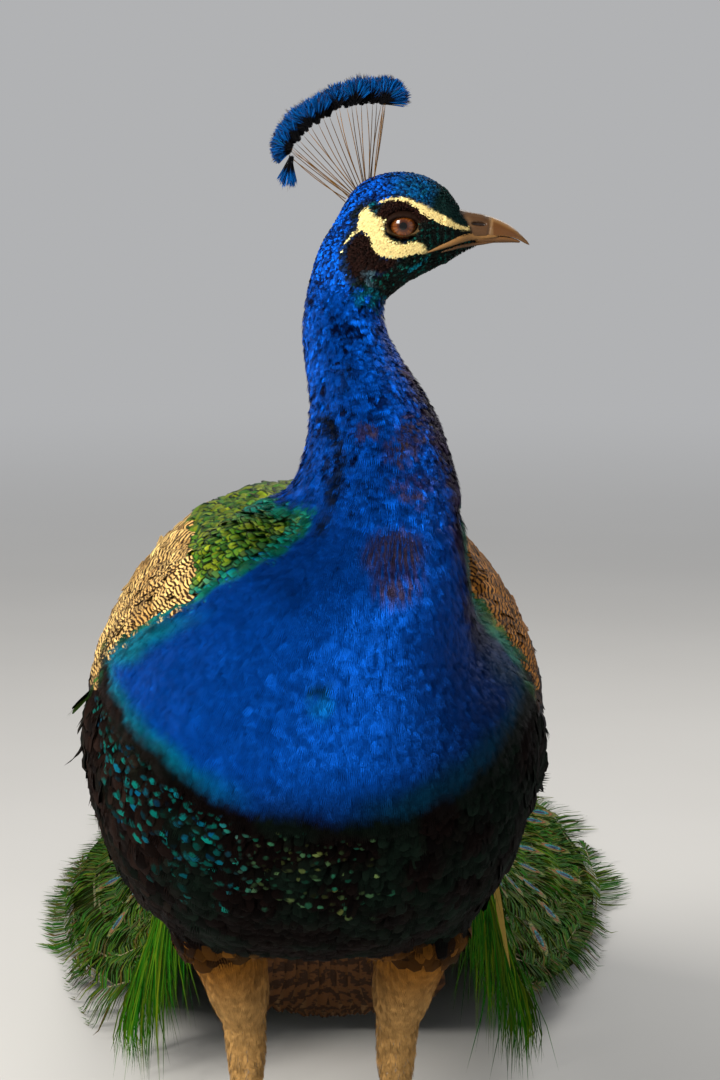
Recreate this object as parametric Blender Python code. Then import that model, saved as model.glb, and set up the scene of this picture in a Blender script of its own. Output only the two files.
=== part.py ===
"""A life-size Indian peacock, standing with its head turned to its left and its long train laid out behind it.

Metres, +Z up. The bird faces -Y, its left side is +X and its train runs back along +Y. Its feet and the edges of
its train rest on the plane z = 0, and the origin is under the middle of its box.
The trunk, neck and head are one loft, parted by thin gaps; each other part is made in its place and cut back to
the same gap where it meets its neighbour.
"""

import math
from collections import namedtuple

import bmesh
import bpy
from mathutils import Matrix, Vector

GAP = 0.0003  # between two parts that meet
FLOOR = 0.0

# --- driving sizes ---------------------------------------------------------------------------------------------
EYE = Vector((0.0503, -0.065, 0.6758))  # on the head's middle plane, at the height of the pupils
HEAD_TURN = 90.0  # degrees from straight ahead, to the bird's left
EYE_RADIUS = 0.0085
EYE_DEPTH = 0.0072  # the ball is flattened from side to side
EYE_OFFSET = 0.0124  # of the ball's centre from the middle plane

CREST_ROOT = (-0.0280, 0.0180)  # forward and up from the eye
CREST_ANGLES = (60.0, 172.0)  # first and last shaft, from straight ahead
CREST_SHAFTS = 13
CREST_LENGTHS = (0.0650, 0.0695, 0.0640, 0.0630, 0.0600, 0.0545, 0.0430)  # spread evenly over the fan
CREST_THICKNESS = 0.0016
CREST_SHAFT_WIDTH = 0.0011

LEG_APART = 0.048  # of each leg from the middle plane
HOCK = Vector((LEG_APART, 0.036, 0.140))
ANKLE = Vector((LEG_APART, 0.004, 0.022))
TOE_RADIUS = 0.0062
CLAW_LENGTH = 0.014

TRAIN_STRIPS = ("right", "middle", "left")

AROUND = 24  # sides of the trunk, neck and head
STEPS = 2  # rings between two stations of the body

# One row for each place along the bird, from its rump to its bill: a point on its back, one on its front, half its
# width, and how full the section is towards its back and its front (2 is an ellipse, more is squarer).
Station = namedtuple("Station", "part back front half_width fullness")
TRUNK = (
    Station("rump", (0, 0.302, 0.352), (0, 0.290, 0.298), 0.030, (2.0, 2.0)),
    Station("rump", (0, 0.245, 0.401), (-0.002, 0.222, 0.264), 0.076, (2.0, 2.2)),
    Station("trunk", (0, 0.170, 0.454), (-0.004, 0.132, 0.230), 0.114, (2.1, 2.4)),
    Station("trunk", (-0.002, 0.105, 0.496), (-0.005, 0.045, 0.217), 0.134, (2.2, 2.7)),
    Station("trunk", (-0.002, 0.052, 0.509), (-0.005, -0.050, 0.224), 0.138, (2.2, 2.6)),
    Station("breast", (0.000, 0.010, 0.505), (-0.004, -0.126, 0.268), 0.138, (1.9, 2.3)),
    Station("breast", (0.009, -0.015, 0.500), (0.002, -0.170, 0.335), 0.127, (1.65, 2.2)),
    Station("breast", (0.019, -0.032, 0.504), (0.014, -0.180, 0.405), 0.101, (1.45, 2.1)),
    Station("neck_lower", (0.027, -0.042, 0.519), (0.038, -0.172, 0.463), 0.064, (1.6, 2.0)),
    Station("neck_lower", (0.030, -0.046, 0.548), (0.045, -0.149, 0.512), 0.047, (2.0, 2.0)),
    Station("neck_lower", (0.014, -0.045, 0.579), (0.055, -0.122, 0.551), 0.038, (2.0, 2.0)),
    Station("neck_upper", (-0.0040, -0.050, 0.605), (0.0520, -0.095, 0.586), 0.0285, (2.0, 2.0)),
    Station("neck_upper", (-0.0065, -0.060, 0.631), (0.0410, -0.074, 0.612), 0.0225, (2.0, 2.0)),
)
# The head's profile, as (forward, up) from the eye: its crown and its chin.
HEAD = (
    Station("neck_upper", (-0.0493, -0.0149), (-0.0105, -0.0457), 0.0205, (2.0, 2.0)),
    Station("head", (-0.0428, -0.0030), (-0.0053, -0.0404), 0.0198, (2.0, 2.0)),
    Station("head", (-0.0368, 0.0075), (0.0012, -0.0350), 0.0195, (2.0, 2.1)),
    Station("head", (-0.0305, 0.0185), (0.0101, -0.0303), 0.0195, (2.1, 2.2)),
    Station("head", (-0.0208, 0.0267), (0.0184, -0.0261), 0.0193, (2.2, 2.2)),
    Station("head", (-0.0077, 0.0306), (0.0261, -0.0220), 0.0190, (2.3, 2.2)),
    Station("head", (0.0053, 0.0304), (0.0321, -0.0184), 0.0180, (2.3, 2.2)),
    Station("head", (0.0172, 0.0267), (0.0374, -0.0155), 0.0155, (2.2, 2.2)),
    Station("head", (0.0261, 0.0198), (0.0422, -0.0133), 0.0122, (2.1, 2.1)),
    Station("bill", (0.0327, 0.0112), (0.0463, -0.0118), 0.0094, (2.0, 2.0)),
)
# The bill's culmen, its cutting edge and its under side, as (forward, up) from the eye, and half its width.
Beak = namedtuple("Beak", "culmen edge under half_width")
BILL = (
    Beak((0.0332, 0.0102), (0.0425, -0.0066), (0.0458, -0.0115), 0.0090),
    Beak((0.0465, 0.0065), (0.0510, -0.0064), (0.0530, -0.0108), 0.0078),
    Beak((0.0570, 0.0030), (0.0590, -0.0068), (0.0600, -0.0107), 0.0063),
    Beak((0.0655, -0.0018), (0.0655, -0.0080), (0.0655, -0.0106), 0.0046),
    Beak((0.0710, -0.0068), (0.0695, -0.0098), (0.0690, -0.0108), 0.0028),
)
BILL_TIP = (0.0748, -0.0122)

# The folded wing's sections from its wrist back: its upper and its lower edge as (x, z), how far it swells beyond
# the straight line between them, and how thick it is.
Blade = namedtuple("Blade", "part y upper lower swell thickness")
WINGS_ASIDE = -0.003  # the body leans a little to its right
WING = (
    Blade("wing", -0.062, (0.104, 0.436), (0.134, 0.375), 0.009, 0.020),
    Blade("wing", -0.030, (0.092, 0.468), (0.139, 0.345), 0.021, 0.030),
    Blade("wing", 0.030, (0.075, 0.492), (0.139, 0.312), 0.031, 0.035),
    Blade("wing", 0.090, (0.072, 0.487), (0.138, 0.297), 0.033, 0.034),
    Blade("wing", 0.155, (0.076, 0.450), (0.132, 0.289), 0.028, 0.028),
    Blade("wing_tip", 0.220, (0.087, 0.404), (0.121, 0.284), 0.019, 0.015),
    Blade("wing_tip", 0.290, (0.085, 0.356), (0.104, 0.280), 0.009, 0.010),
    Blade("wing_tip", 0.350, (0.081, 0.317), (0.088, 0.279), 0.003, 0.006),
    Blade("wing_tip", 0.395, (0.077, 0.292), (0.079, 0.280), 0.001, 0.003),
)

# The train's sections from its root back: the height of its middle and of its edges, half its width and its depth.
Spread = namedtuple("Spread", "part y crown edge half_width depth")
TRAIN = (
    Spread("train_root", 0.140, 0.4830, 0.4520, 0.058, 0.030),
    Spread("train_root", 0.215, 0.4440, 0.3900, 0.080, 0.032),
    Spread("train_root", 0.290, 0.4000, 0.2850, 0.092, 0.026),
    Spread("train_root", 0.370, 0.3470, 0.1450, 0.120, 0.018),
    Spread("train_upper", 0.460, 0.2880, 0.0600, 0.150, 0.015),
    Spread("train_upper", 0.570, 0.2210, 0.0240, 0.184, 0.014),
    Spread("train_upper", 0.700, 0.1560, 0.0100, 0.217, 0.012),
    Spread("train_lower", 0.850, 0.1010, 0.0050, 0.243, 0.011),
    Spread("train_lower", 1.010, 0.0600, 0.0040, 0.255, 0.010),
    Spread("train_lower", 1.180, 0.0330, 0.0040, 0.252, 0.009),
    Spread("train_end", 1.340, 0.0180, 0.0040, 0.232, 0.008),
    Spread("train_end", 1.480, 0.0110, 0.0040, 0.190, 0.007),
    Spread("train_end", 1.580, 0.0080, 0.0040, 0.132, 0.006),
    Spread("train_end", 1.640, 0.0060, 0.0030, 0.062, 0.004),
)
TRAIN_ARCH = 2.2  # power of the curve from the crown of the train to its edges
TRAIN_ACROSS = 12  # faces across the train, a multiple of three
TIP_REACH = 0.014  # how far each plume's tip stands out of the train's edge

# The true tail, a closed fan of stiff feathers under the train.
TAIL = (
    Spread("tail", 0.258, 0.3000, 0.2960, 0.030, 0.008),
    Spread("tail", 0.318, 0.2400, 0.2320, 0.050, 0.007),
    Spread("tail", 0.390, 0.1640, 0.1500, 0.072, 0.006),
    Spread("tail", 0.460, 0.0900, 0.0720, 0.090, 0.005),
    Spread("tail", 0.515, 0.0360, 0.0220, 0.084, 0.004),
    Spread("tail", 0.545, 0.0130, 0.0080, 0.056, 0.003),
)

# Each limb's middle line and the half widths (side to side, front to back) along it.
Limb = namedtuple("Limb", "centre across along")
THIGH = (
    Limb((0.066, -0.012, 0.262), 0.034, 0.046),
    Limb((0.060, 0.000, 0.232), 0.029, 0.038),
    Limb((0.054, 0.016, 0.200), 0.0215, 0.025),
    Limb((0.050, 0.028, 0.172), 0.0155, 0.0165),
)
SHANK = (
    Limb((0.0496, 0.0290, 0.1700), 0.0135, 0.0140),
    Limb((0.0482, 0.0355, 0.1480), 0.0122, 0.0135),
    Limb((0.0480, 0.0350, 0.1340), 0.0115, 0.0125),
    Limb((0.0480, 0.0290, 0.1100), 0.0075, 0.0085),
    Limb((0.0480, 0.0165, 0.0640), 0.0066, 0.0078),
    Limb((0.0480, 0.0070, 0.0300), 0.0072, 0.0085),
    Limb((0.0480, 0.0045, 0.0205), 0.0088, 0.0095),
)
# Toes: heading in degrees from straight ahead (outwards is positive), length, and the height that they leave from.
Toe = namedtuple("Toe", "name heading length start_height")
TOES = (
    Toe("inner", -34.0, 0.050, 0.0100),
    Toe("middle", 3.0, 0.068, 0.0105),
    Toe("outer", 38.0, 0.054, 0.0100),
    Toe("back", -160.0, 0.024, 0.0150),
)
SPUR_START = Vector((0.0440, 0.0200, 0.0620))
SPUR_END = Vector((0.0330, 0.0400, 0.0690))
SPUR_RADIUS = 0.0040

# --- finishes: colour, roughness, metallic ---------------------------------------------------------------------
FINISHES = {
    "blue": ((0.010, 0.060, 0.420), 0.40, 0.3),
    "face": ((0.020, 0.120, 0.260), 0.50, 0.2),
    "green": ((0.040, 0.180, 0.050), 0.40, 0.4),
    "dark": ((0.012, 0.020, 0.018), 0.55, 0.1),
    "barred": ((0.480, 0.350, 0.190), 0.65, 0.0),
    "chestnut": ((0.250, 0.110, 0.040), 0.60, 0.0),
    "tail": ((0.110, 0.065, 0.035), 0.65, 0.0),
    "buff": ((0.420, 0.260, 0.120), 0.75, 0.0),
    "scale": ((0.330, 0.250, 0.180), 0.55, 0.0),
    "horn": ((0.230, 0.150, 0.090), 0.35, 0.0),
    "eye": ((0.110, 0.040, 0.012), 0.08, 0.0),
}


def finish(name):
    """The material of that name, made once."""
    material = bpy.data.materials.get(name)
    if material is None:
        colour, roughness, metallic = FINISHES[name]
        material = bpy.data.materials.new(name)
        material.use_nodes = True
        surface = material.node_tree.nodes["Principled BSDF"]
        surface.inputs["Base Color"].default_value = (*colour, 1.0)
        surface.inputs["Roughness"].default_value = roughness
        surface.inputs["Metallic"].default_value = metallic
        material.diffuse_color = (*colour, 1.0)
    return material


def smooth_curve(values, t):
    """The value at t, from 0 to len(values) - 1, on a curve through numbers or vectors."""
    i = min(int(t), len(values) - 2)
    u = t - i
    p1, p2 = values[i], values[i + 1]
    p0 = values[i - 1] if i > 0 else p1 * 2 - p2
    p3 = values[i + 2] if i + 2 < len(values) else p2 * 2 - p1
    return (
        p1 * 2
        + (p2 - p0) * u
        + (p0 * 2 - p1 * 5 + p2 * 4 - p3) * u * u
        + (p1 * 3 - p0 - p2 * 3 + p3) * u * u * u
    ) * 0.5


def link(name, mesh, finish_name):
    """A smooth-shaded object of that mesh, in the scene."""
    mesh.materials.append(finish(finish_name))
    mesh.shade_smooth()
    mesh.set_sharp_from_angle(angle=math.radians(50))
    made = bpy.data.objects.new(name, mesh)
    bpy.context.scene.collection.objects.link(made)
    return made


def closed_mesh(shape, name):
    """A mesh of a closed shape, with its faces outwards."""
    shape.normal_update()
    bmesh.ops.recalc_face_normals(shape, faces=shape.faces)
    mesh = bpy.data.meshes.new(name)
    shape.to_mesh(mesh)
    shape.free()
    return mesh


def solid_from(name, rings, finish_name, mirror=False, aside=0.0):
    """A closed solid through rings of points, mirrored in the middle plane or moved aside if asked."""
    flip = Matrix.Scale(-1, 4, (1, 0, 0)) if mirror else Matrix.Identity(4)
    flip = Matrix.Translation((aside, 0, 0)) @ flip
    shape = bmesh.new()
    loops = [[shape.verts.new(flip @ Vector(p)) for p in ring] for ring in rings]
    count = len(loops[0])
    for first, second in zip(loops, loops[1:]):
        for k in range(count):
            n = (k + 1) % count
            shape.faces.new((first[k], first[n], second[n]))
            shape.faces.new((first[k], second[n], second[k]))
    for loop in (loops[0], loops[-1]):
        for k in range(count // 2 - 1):
            shape.faces.new((loop[k], loop[k + 1], loop[-2 - k], loop[-1 - k]))
    return link(name, closed_mesh(shape, name), finish_name)


def grown(source, distance):
    """A hidden copy of a solid, moved outwards by a distance, to cut its neighbours with."""
    shape = bmesh.new()
    shape.from_mesh(source.data)
    shape.normal_update()
    for v in shape.verts:
        v.co += v.normal * distance * v.calc_shell_factor()
    mesh = bpy.data.meshes.new(source.name + "_cutter")
    shape.to_mesh(mesh)
    shape.free()
    cutter = bpy.data.objects.new(mesh.name, mesh)
    cutter.display_type = "WIRE"
    cutter.hide_render = True
    bpy.context.scene.collection.objects.link(cutter)
    return cutter


def combine(target, other, operation):
    """Adds a Boolean of that kind to the target."""
    boolean = target.modifiers.new(operation.lower(), "BOOLEAN")
    boolean.operation = operation
    boolean.solver = "EXACT"
    boolean.use_self = True
    boolean.object = other


def cut_back(target, *cutters):
    """Takes the cutters out of the target."""
    for cutter in cutters:
        combine(target, cutter, "DIFFERENCE")


# --- trunk, neck and head ---------------------------------------------------------------------------------------
def head_point(forward, up, side=0.0):
    """The place that far ahead of the eye, above it, and to the left of the head's middle plane."""
    turn = math.radians(HEAD_TURN)
    ahead = Vector((math.sin(turn), -math.cos(turn), 0))
    left = Vector((0, 0, 1)).cross(ahead)
    return EYE + ahead * forward + Vector((0, 0, up)) + left * side


def body_stations():
    """All stations from the rump to the bill, with their points in place."""
    placed = [s._replace(back=Vector(s.back), front=Vector(s.front)) for s in TRUNK]
    placed += [s._replace(back=head_point(*s.back), front=head_point(*s.front)) for s in HEAD]
    return placed


def section(centre, half_depth, lateral, half_width, fullness):
    """A ring of AROUND points that starts at the back and goes round by the left side."""
    ring = []
    for k in range(AROUND):
        angle = 2 * math.pi * k / AROUND
        c, s = math.cos(angle), math.sin(angle)
        power = 2 / (fullness[0] if c > 0 else fullness[1])
        deep = math.copysign(abs(c) ** power, c)
        wide = math.copysign(abs(s) ** power, s)
        ring.append(centre + half_depth * deep + lateral * (half_width * wide))
    return ring


def body_rings():
    """(part, ring, unit normal of its plane) at each step along the body."""
    stations = body_stations()
    backs = [s.back for s in stations]
    fronts = [s.front for s in stations]
    widths = [s.half_width for s in stations]
    back_fullness = [s.fullness[0] for s in stations]
    front_fullness = [s.fullness[1] for s in stations]

    def middle(t):
        return (smooth_curve(backs, t) + smooth_curve(fronts, t)) / 2

    found = []
    last = len(stations) - 1
    for n in range(last * STEPS + 1):
        t = n / STEPS
        half_depth = (smooth_curve(backs, t) - smooth_curve(fronts, t)) / 2
        course = middle(min(t + 0.2, last)) - middle(max(t - 0.2, 0))
        lateral = half_depth.cross(course).normalized()
        normal = lateral.cross(half_depth).normalized()
        if normal.dot(course) < 0:
            normal.negate()
        fullness = (smooth_curve(back_fullness, t), smooth_curve(front_fullness, t))
        ring = section(middle(t), half_depth, lateral, smooth_curve(widths, t), fullness)
        found.append((stations[min(int(t), last)].part, ring, normal))
    return found


def make_body():
    """The rump, trunk, breast, neck and head, each from one plane to the next."""
    finishes = {
        "rump": "green",
        "trunk": "dark",
        "breast": "blue",
        "neck_lower": "blue",
        "neck_upper": "blue",
        "head": "face",
    }
    rings = body_rings()
    whole = solid_from("body_whole", [ring for _, ring, _ in rings], "blue")
    cutter = grown(whole, GAP)
    bpy.data.objects.remove(whole)
    parts = {}
    for name, finish_name in finishes.items():
        span = [n for n, (part, _, _) in enumerate(rings) if part == name]
        chosen = [rings[n][1] for n in (*span, span[-1] + 1)]
        if span[0] > 0:
            shift = rings[span[0]][2] * GAP
            chosen[0] = [p + shift for p in chosen[0]]
        parts[name] = solid_from(name, chosen, finish_name)
    return parts, cutter


# --- face ---------------------------------------------------------------------------------------------------------
def make_eye(name, side):
    """A flattened ball whose axis crosses the head."""
    shape = bmesh.new()
    bmesh.ops.create_uvsphere(shape, u_segments=16, v_segments=10, radius=EYE_RADIUS)
    for v in shape.verts:
        forward, up, across = v.co
        v.co = head_point(forward, up, side * (EYE_OFFSET + across * EYE_DEPTH / EYE_RADIUS))
    return link(name, closed_mesh(shape, name), "eye")


def beak_ring(top, bottom, half_width, arch_up):
    """A ring of a mandible: flat on the side of the cutting edge, arched on the other."""
    steps = 8
    edge, ridge = (bottom, top) if arch_up else (top, bottom)
    edge, ridge = Vector(edge), Vector(ridge)
    ring = []
    for k in range(steps + 1):
        angle = math.pi * k / steps
        along = edge.lerp(ridge, math.sin(angle) ** 0.8)
        ring.append(head_point(along.x, along.y, half_width * math.cos(angle)))
    for k in range(1, 4):
        ring.append(head_point(edge.x, edge.y, half_width * (k / 2 - 1)))
    return ring


def make_bill():
    """The two mandibles, which part along the gape."""
    widths = [b.half_width for b in BILL]
    lines = {name: [Vector(getattr(b, name)) for b in BILL] for name in ("culmen", "edge", "under")}
    tip = Vector(BILL_TIP)
    uppers, lowers = [], []
    for n in range((len(BILL) - 1) * 2 + 1):
        t = n / 2
        culmen, edge, under = (smooth_curve(lines[k], t) for k in ("culmen", "edge", "under"))
        half_width = smooth_curve(widths, t)
        gape = Vector((0, GAP))
        uppers.append(beak_ring(culmen, edge + gape, half_width, True))
        lowers.append(beak_ring(edge, under, half_width * 0.86, False))
    near_tip = tip.lerp(Vector(BILL[-1].edge), 0.45)
    uppers.append(beak_ring(near_tip + Vector((0.0012, 0.0016)), near_tip, 0.0015, True))
    uppers.append(beak_ring(tip + Vector((0.0003, 0.0004)), tip, 0.0004, True))
    return [
        solid_from("bill_upper", uppers, "horn"),
        solid_from("bill_lower", lowers, "horn"),
    ]


def crest_length(share):
    """How long the shaft is, that far through the fan."""
    return smooth_curve(CREST_LENGTHS, share * (len(CREST_LENGTHS) - 1))


def make_crest():
    """A fan of bare shafts with a band of small vanes along their tips, in the head's middle plane."""
    root = Vector(CREST_ROOT)
    first, last = (math.radians(a) for a in CREST_ANGLES)
    levels = (0.03, 0.14, 0.46, 0.79, 0.90, 1.0)
    solid_levels = {0, 3, 4}  # where the fan has no gaps between its shafts
    columns = []
    for k in range(CREST_SHAFTS):
        share = k / (CREST_SHAFTS - 1)
        angle = first + (last - first) * share
        ray = Vector((math.cos(angle), math.sin(angle)))
        across = Vector((-ray.y, ray.x)) * CREST_SHAFT_WIDTH / 2
        for side in (-1, 1):
            column = []
            for level in levels:
                reach = crest_length(share) * level
                spread = across * side * (0.35 if level < 0.1 else 3.2 if level > 0.8 else 1)
                column.append(root + ray * reach + spread)
            columns.append(column)
    shape = bmesh.new()
    grid = [[shape.verts.new(head_point(p.x, p.y, -CREST_THICKNESS / 2)) for p in c] for c in columns]
    for c in range(len(grid) - 1):
        for j in range(len(levels) - 1):
            if c % 2 == 0 or j in solid_levels:
                shape.faces.new((grid[c][j], grid[c + 1][j], grid[c + 1][j + 1], grid[c][j + 1]))
    flat = list(shape.faces)
    raised = bmesh.ops.extrude_face_region(shape, geom=flat, use_keep_orig=True)
    thickness = head_point(0, 0, CREST_THICKNESS) - head_point(0, 0, 0)
    tops = [v for v in raised["geom"] if isinstance(v, bmesh.types.BMVert)]
    bmesh.ops.translate(shape, vec=thickness, verts=tops)
    return link("crest", closed_mesh(shape, "crest"), "blue")


# --- wings --------------------------------------------------------------------------------------------------------
def blade_ring(blade):
    """A lens-shaped ring between the wing's upper and lower edges."""
    upper, lower = (Vector((x, blade.y, z)) for x, z in (blade.upper, blade.lower))
    outward = Vector((0, 1, 0)).cross(lower - upper).normalized()
    if outward.x < 0:
        outward.negate()
    edge = 0.0012
    steps = 8
    outer, inner = [], []
    for k in range(steps + 1):
        v = k / steps
        arch = 4 * v * (1 - v)
        chord = upper.lerp(lower, v)
        outer.append(chord + outward * (blade.swell * arch + edge))
        inner.append(chord + outward * ((blade.swell - blade.thickness) * arch - edge))
    return outer + inner[::-1]


def make_wings(body_cutter):
    """Each folded wing in two lengths: its coverts, and the flight feathers' tips."""
    between = 2
    fields = ("y", "swell", "thickness")
    curves = {f: [getattr(b, f) for b in WING] for f in fields}
    edges = {f: [Vector(getattr(b, f)) for b in WING] for f in ("upper", "lower")}
    blades = []
    for n in range((len(WING) - 1) * between + 1):
        t = n / between
        numbers = {f: smooth_curve(v, t) for f, v in curves.items()}
        corners = {f: tuple(smooth_curve(v, t)) for f, v in edges.items()}
        blades.append(Blade(WING[int(t)].part, **numbers, **corners))
    rings = [blade_ring(b) for b in blades]
    split = next(n for n, b in enumerate(blades) if b.part == "wing_tip")
    behind = [p + Vector((0, GAP, 0)) for p in rings[split]]
    made = []
    for side, mirror in (("left", False), ("right", True)):
        coverts = solid_from(f"wing_{side}", rings[: split + 1], "barred", mirror, WINGS_ASIDE)
        ends = [behind] + rings[split + 1 :]
        tip = solid_from(f"wing_tip_{side}", ends, "chestnut", mirror, WINGS_ASIDE)
        cut_back(coverts, body_cutter)
        cut_back(tip, body_cutter)
        whole = solid_from("wing_whole", rings, "barred", mirror, WINGS_ASIDE)
        made.append((coverts, tip, grown(whole, GAP)))
        bpy.data.objects.remove(whole)
    return made


# --- train and tail -----------------------------------------------------------------------------------------------
def spread_at(rows, t):
    """The section at t along the rows, between two of them where t isn't whole."""
    fields = ("y", "crown", "edge", "half_width", "depth")
    numbers = {f: smooth_curve([getattr(r, f) for r in rows], t) for f in fields}
    return Spread(rows[int(t)].part, **numbers)


def spread_ring(spread, start, end, steps, fringe=0.0):
    """A ring of the part of an arched sheet that lies from start to end across it, each from -1 to 1."""
    top, bottom = [], []
    for k in range(steps + 1):
        v = start + (end - start) * k / steps
        reach = spread.half_width + (fringe if abs(v) > 0.999 else 0)
        height = spread.edge + (spread.crown - spread.edge) * (1 - abs(v) ** TRAIN_ARCH)
        top.append(Vector((v * reach, spread.y, max(height, FLOOR + 0.003))))
        bottom.append(Vector((v * reach, spread.y, max(height - spread.depth, FLOOR))))
    return top + bottom[::-1]


def make_train(cutters):
    """The long train: each length in three strips side by side, and its end in one."""
    between = 2
    total = (len(TRAIN) - 1) * between
    spreads = [spread_at(TRAIN, n / between) for n in range(total + 1)]
    made = []
    for part in ("train_root", "train_upper", "train_lower", "train_end"):
        span = [n for n, s in enumerate(spreads) if s.part == part]
        chosen = spreads[span[0] : min(span[-1] + 2, len(spreads))]
        if span[0] > 0:
            chosen[0] = chosen[0]._replace(y=chosen[0].y + GAP)
        strips = ((0, 3),) if part in ("train_root", "train_end") else ((0, 1), (1, 2), (2, 3))
        for a, b in strips:
            start, end = -1 + 2 * a / 3, -1 + 2 * b / 3
            steps = TRAIN_ACROSS * (b - a) // 3
            rings = []
            for n, spread in enumerate(chosen):
                seam = GAP / spread.half_width
                fringe = TIP_REACH if n % 2 and part != "train_root" else 0
                left = end - seam if b < 3 else end
                rings.append(spread_ring(spread, start, left, steps, fringe))
            name = part if len(strips) == 1 else f"{part}_{TRAIN_STRIPS[a]}"
            strip = solid_from(name, rings, "green")
            if part == "train_root":
                cut_back(strip, *cutters)
            made.append(strip)
    return made


def make_tail(cutters):
    """The stiff brown tail feathers as one closed fan."""
    spreads = [spread_at(TAIL, n / 2) for n in range((len(TAIL) - 1) * 2 + 1)]
    tail = solid_from("tail", [spread_ring(s, -1, 1, 8) for s in spreads], "tail")
    cut_back(tail, *cutters)
    return tail


# --- legs ---------------------------------------------------------------------------------------------------------
def limb_ring(centre, course, across, along, sides=12, floor=None):
    """An oval ring square to its course, flattened where it would go under the floor."""
    course = course.normalized()
    sideways = Vector((1, 0, 0)) if abs(course.x) < 0.9 else Vector((0, 1, 0))
    sideways = (sideways - course * sideways.dot(course)).normalized()
    forward = course.cross(sideways)
    ring = []
    for k in range(sides):
        angle = 2 * math.pi * k / sides
        p = centre + sideways * (across * math.cos(angle)) + forward * (along * math.sin(angle))
        if floor is not None:
            p.z = max(p.z, floor)
        ring.append(p)
    return ring


def limb_rings(rows, between, sides=12):
    """Rings along a limb's rows."""
    centres = [Vector(r.centre) for r in rows]
    across = [r.across for r in rows]
    along = [r.along for r in rows]
    last = len(rows) - 1
    rings = []
    for n in range(last * between + 1):
        t = n / between
        course = smooth_curve(centres, min(t + 0.3, last)) - smooth_curve(centres, max(t - 0.3, 0))
        rings.append(
            limb_ring(
                smooth_curve(centres, t),
                course,
                smooth_curve(across, t),
                smooth_curve(along, t),
                sides,
            )
        )
    return rings


def toe_rings(toe):
    """(rings of the toe, rings of its claw) along one line over the floor."""
    heading = math.radians(toe.heading)
    ahead = Vector((math.sin(heading), -math.cos(heading), 0))
    base = Vector((ANKLE.x, ANKLE.y, 0))
    back = toe.name == "back"
    toe_parts, claw_parts = 6, 4
    rings = []
    for n in range(toe_parts + 1):
        u = n / toe_parts
        knuckle = 1 + 0.10 * math.cos(6 * math.pi * u)
        radius = TOE_RADIUS * (1 - 0.34 * u) * knuckle * (0.62 if back else 1)
        resting = max(radius * 0.86, 0.0012) + (0.0035 * (1 - u) if back else 0)
        height = resting + (toe.start_height - resting) * max(0, 1 - 3 * u) ** 2
        centre = base + ahead * (toe.length * u) + Vector((0, 0, height))
        rings.append((centre, radius))
    course = ahead
    toe_made = [limb_ring(c, course, r, r, 8, FLOOR) for c, r in rings]
    end, radius = rings[-1]
    claw_made = []
    for n in range(claw_parts + 1):
        u = n / claw_parts
        drop = 0.0024 * u * u
        centre = end + ahead * (GAP + CLAW_LENGTH * u) + Vector((0, 0, 0.0012 * u - drop))
        size = radius * 0.66 * (1 - u) ** 0.75 + 0.0004
        claw_made.append(limb_ring(centre, course, size, size, 8, FLOOR + 0.0004))
    return toe_made, claw_made


def make_leg(side, mirror, body_cutter):
    """The thigh, the scaly shank with its spur, and the foot with its claws."""
    thigh = solid_from(f"thigh_{side}", limb_rings(THIGH, 3, 16), "buff", mirror)
    cut_back(thigh, body_cutter)
    shank_rings = limb_rings(SHANK, 2)
    shank_rings[0] = [p - Vector((0, 0, 2 * GAP)) for p in shank_rings[0]]
    shank = solid_from(f"shank_{side}", shank_rings, "scale", mirror)
    cut_back(shank, grown(thigh, GAP))
    spur_rings = []
    for n in range(5):
        u = n / 4
        size = SPUR_RADIUS * (1 - u) ** 0.8 + 0.0004
        spur_rings.append(
            limb_ring(SPUR_START.lerp(SPUR_END, u), SPUR_END - SPUR_START, size, size, 8)
        )
    spur = solid_from(f"spur_{side}", spur_rings, "horn", mirror)
    shank_cutter = grown(shank, GAP)
    cut_back(spur, shank_cutter)

    made = [thigh, shank, spur]
    pad_rings = [
        limb_ring(Vector((ANKLE.x, ANKLE.y, z)), Vector((0, 0, 1)), r, r, 12, FLOOR)
        for z, r in ((0.0, 0.0070), (0.004, 0.0088), (0.011, 0.0092), (0.0170, 0.0088), (0.0235, 0.0080))
    ]
    foot = solid_from(f"foot_{side}", pad_rings, "scale", mirror)
    for toe in TOES:
        toe_made, claw_made = toe_rings(toe)
        joined = solid_from(f"toe_{toe.name}_{side}", toe_made, "scale", mirror)
        joined.hide_render = True
        joined.display_type = "WIRE"
        combine(foot, joined, "UNION")
        made.append(solid_from(f"claw_{toe.name}_{side}", claw_made, "horn", mirror))
    cut_back(foot, shank_cutter)
    return made + [foot]


# --- the bird ---------------------------------------------------------------------------------------------------
def stand_on_origin(parts):
    """Hangs every part on one empty, and moves it so that the bird's box is over the origin."""
    bpy.context.view_layer.update()
    graph = bpy.context.evaluated_depsgraph_get()
    corners = []
    for part in parts:
        shown = part.evaluated_get(graph)
        corners += [shown.matrix_world @ Vector(c) for c in shown.bound_box]
    middle = [(min(c[i] for c in corners) + max(c[i] for c in corners)) / 2 for i in (0, 1)]
    holder = bpy.data.objects.new("peacock", None)
    bpy.context.scene.collection.objects.link(holder)
    for made in bpy.data.objects:
        if made.type == "MESH":
            made.parent = holder
    holder.location = (-middle[0], -middle[1], 0)


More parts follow.
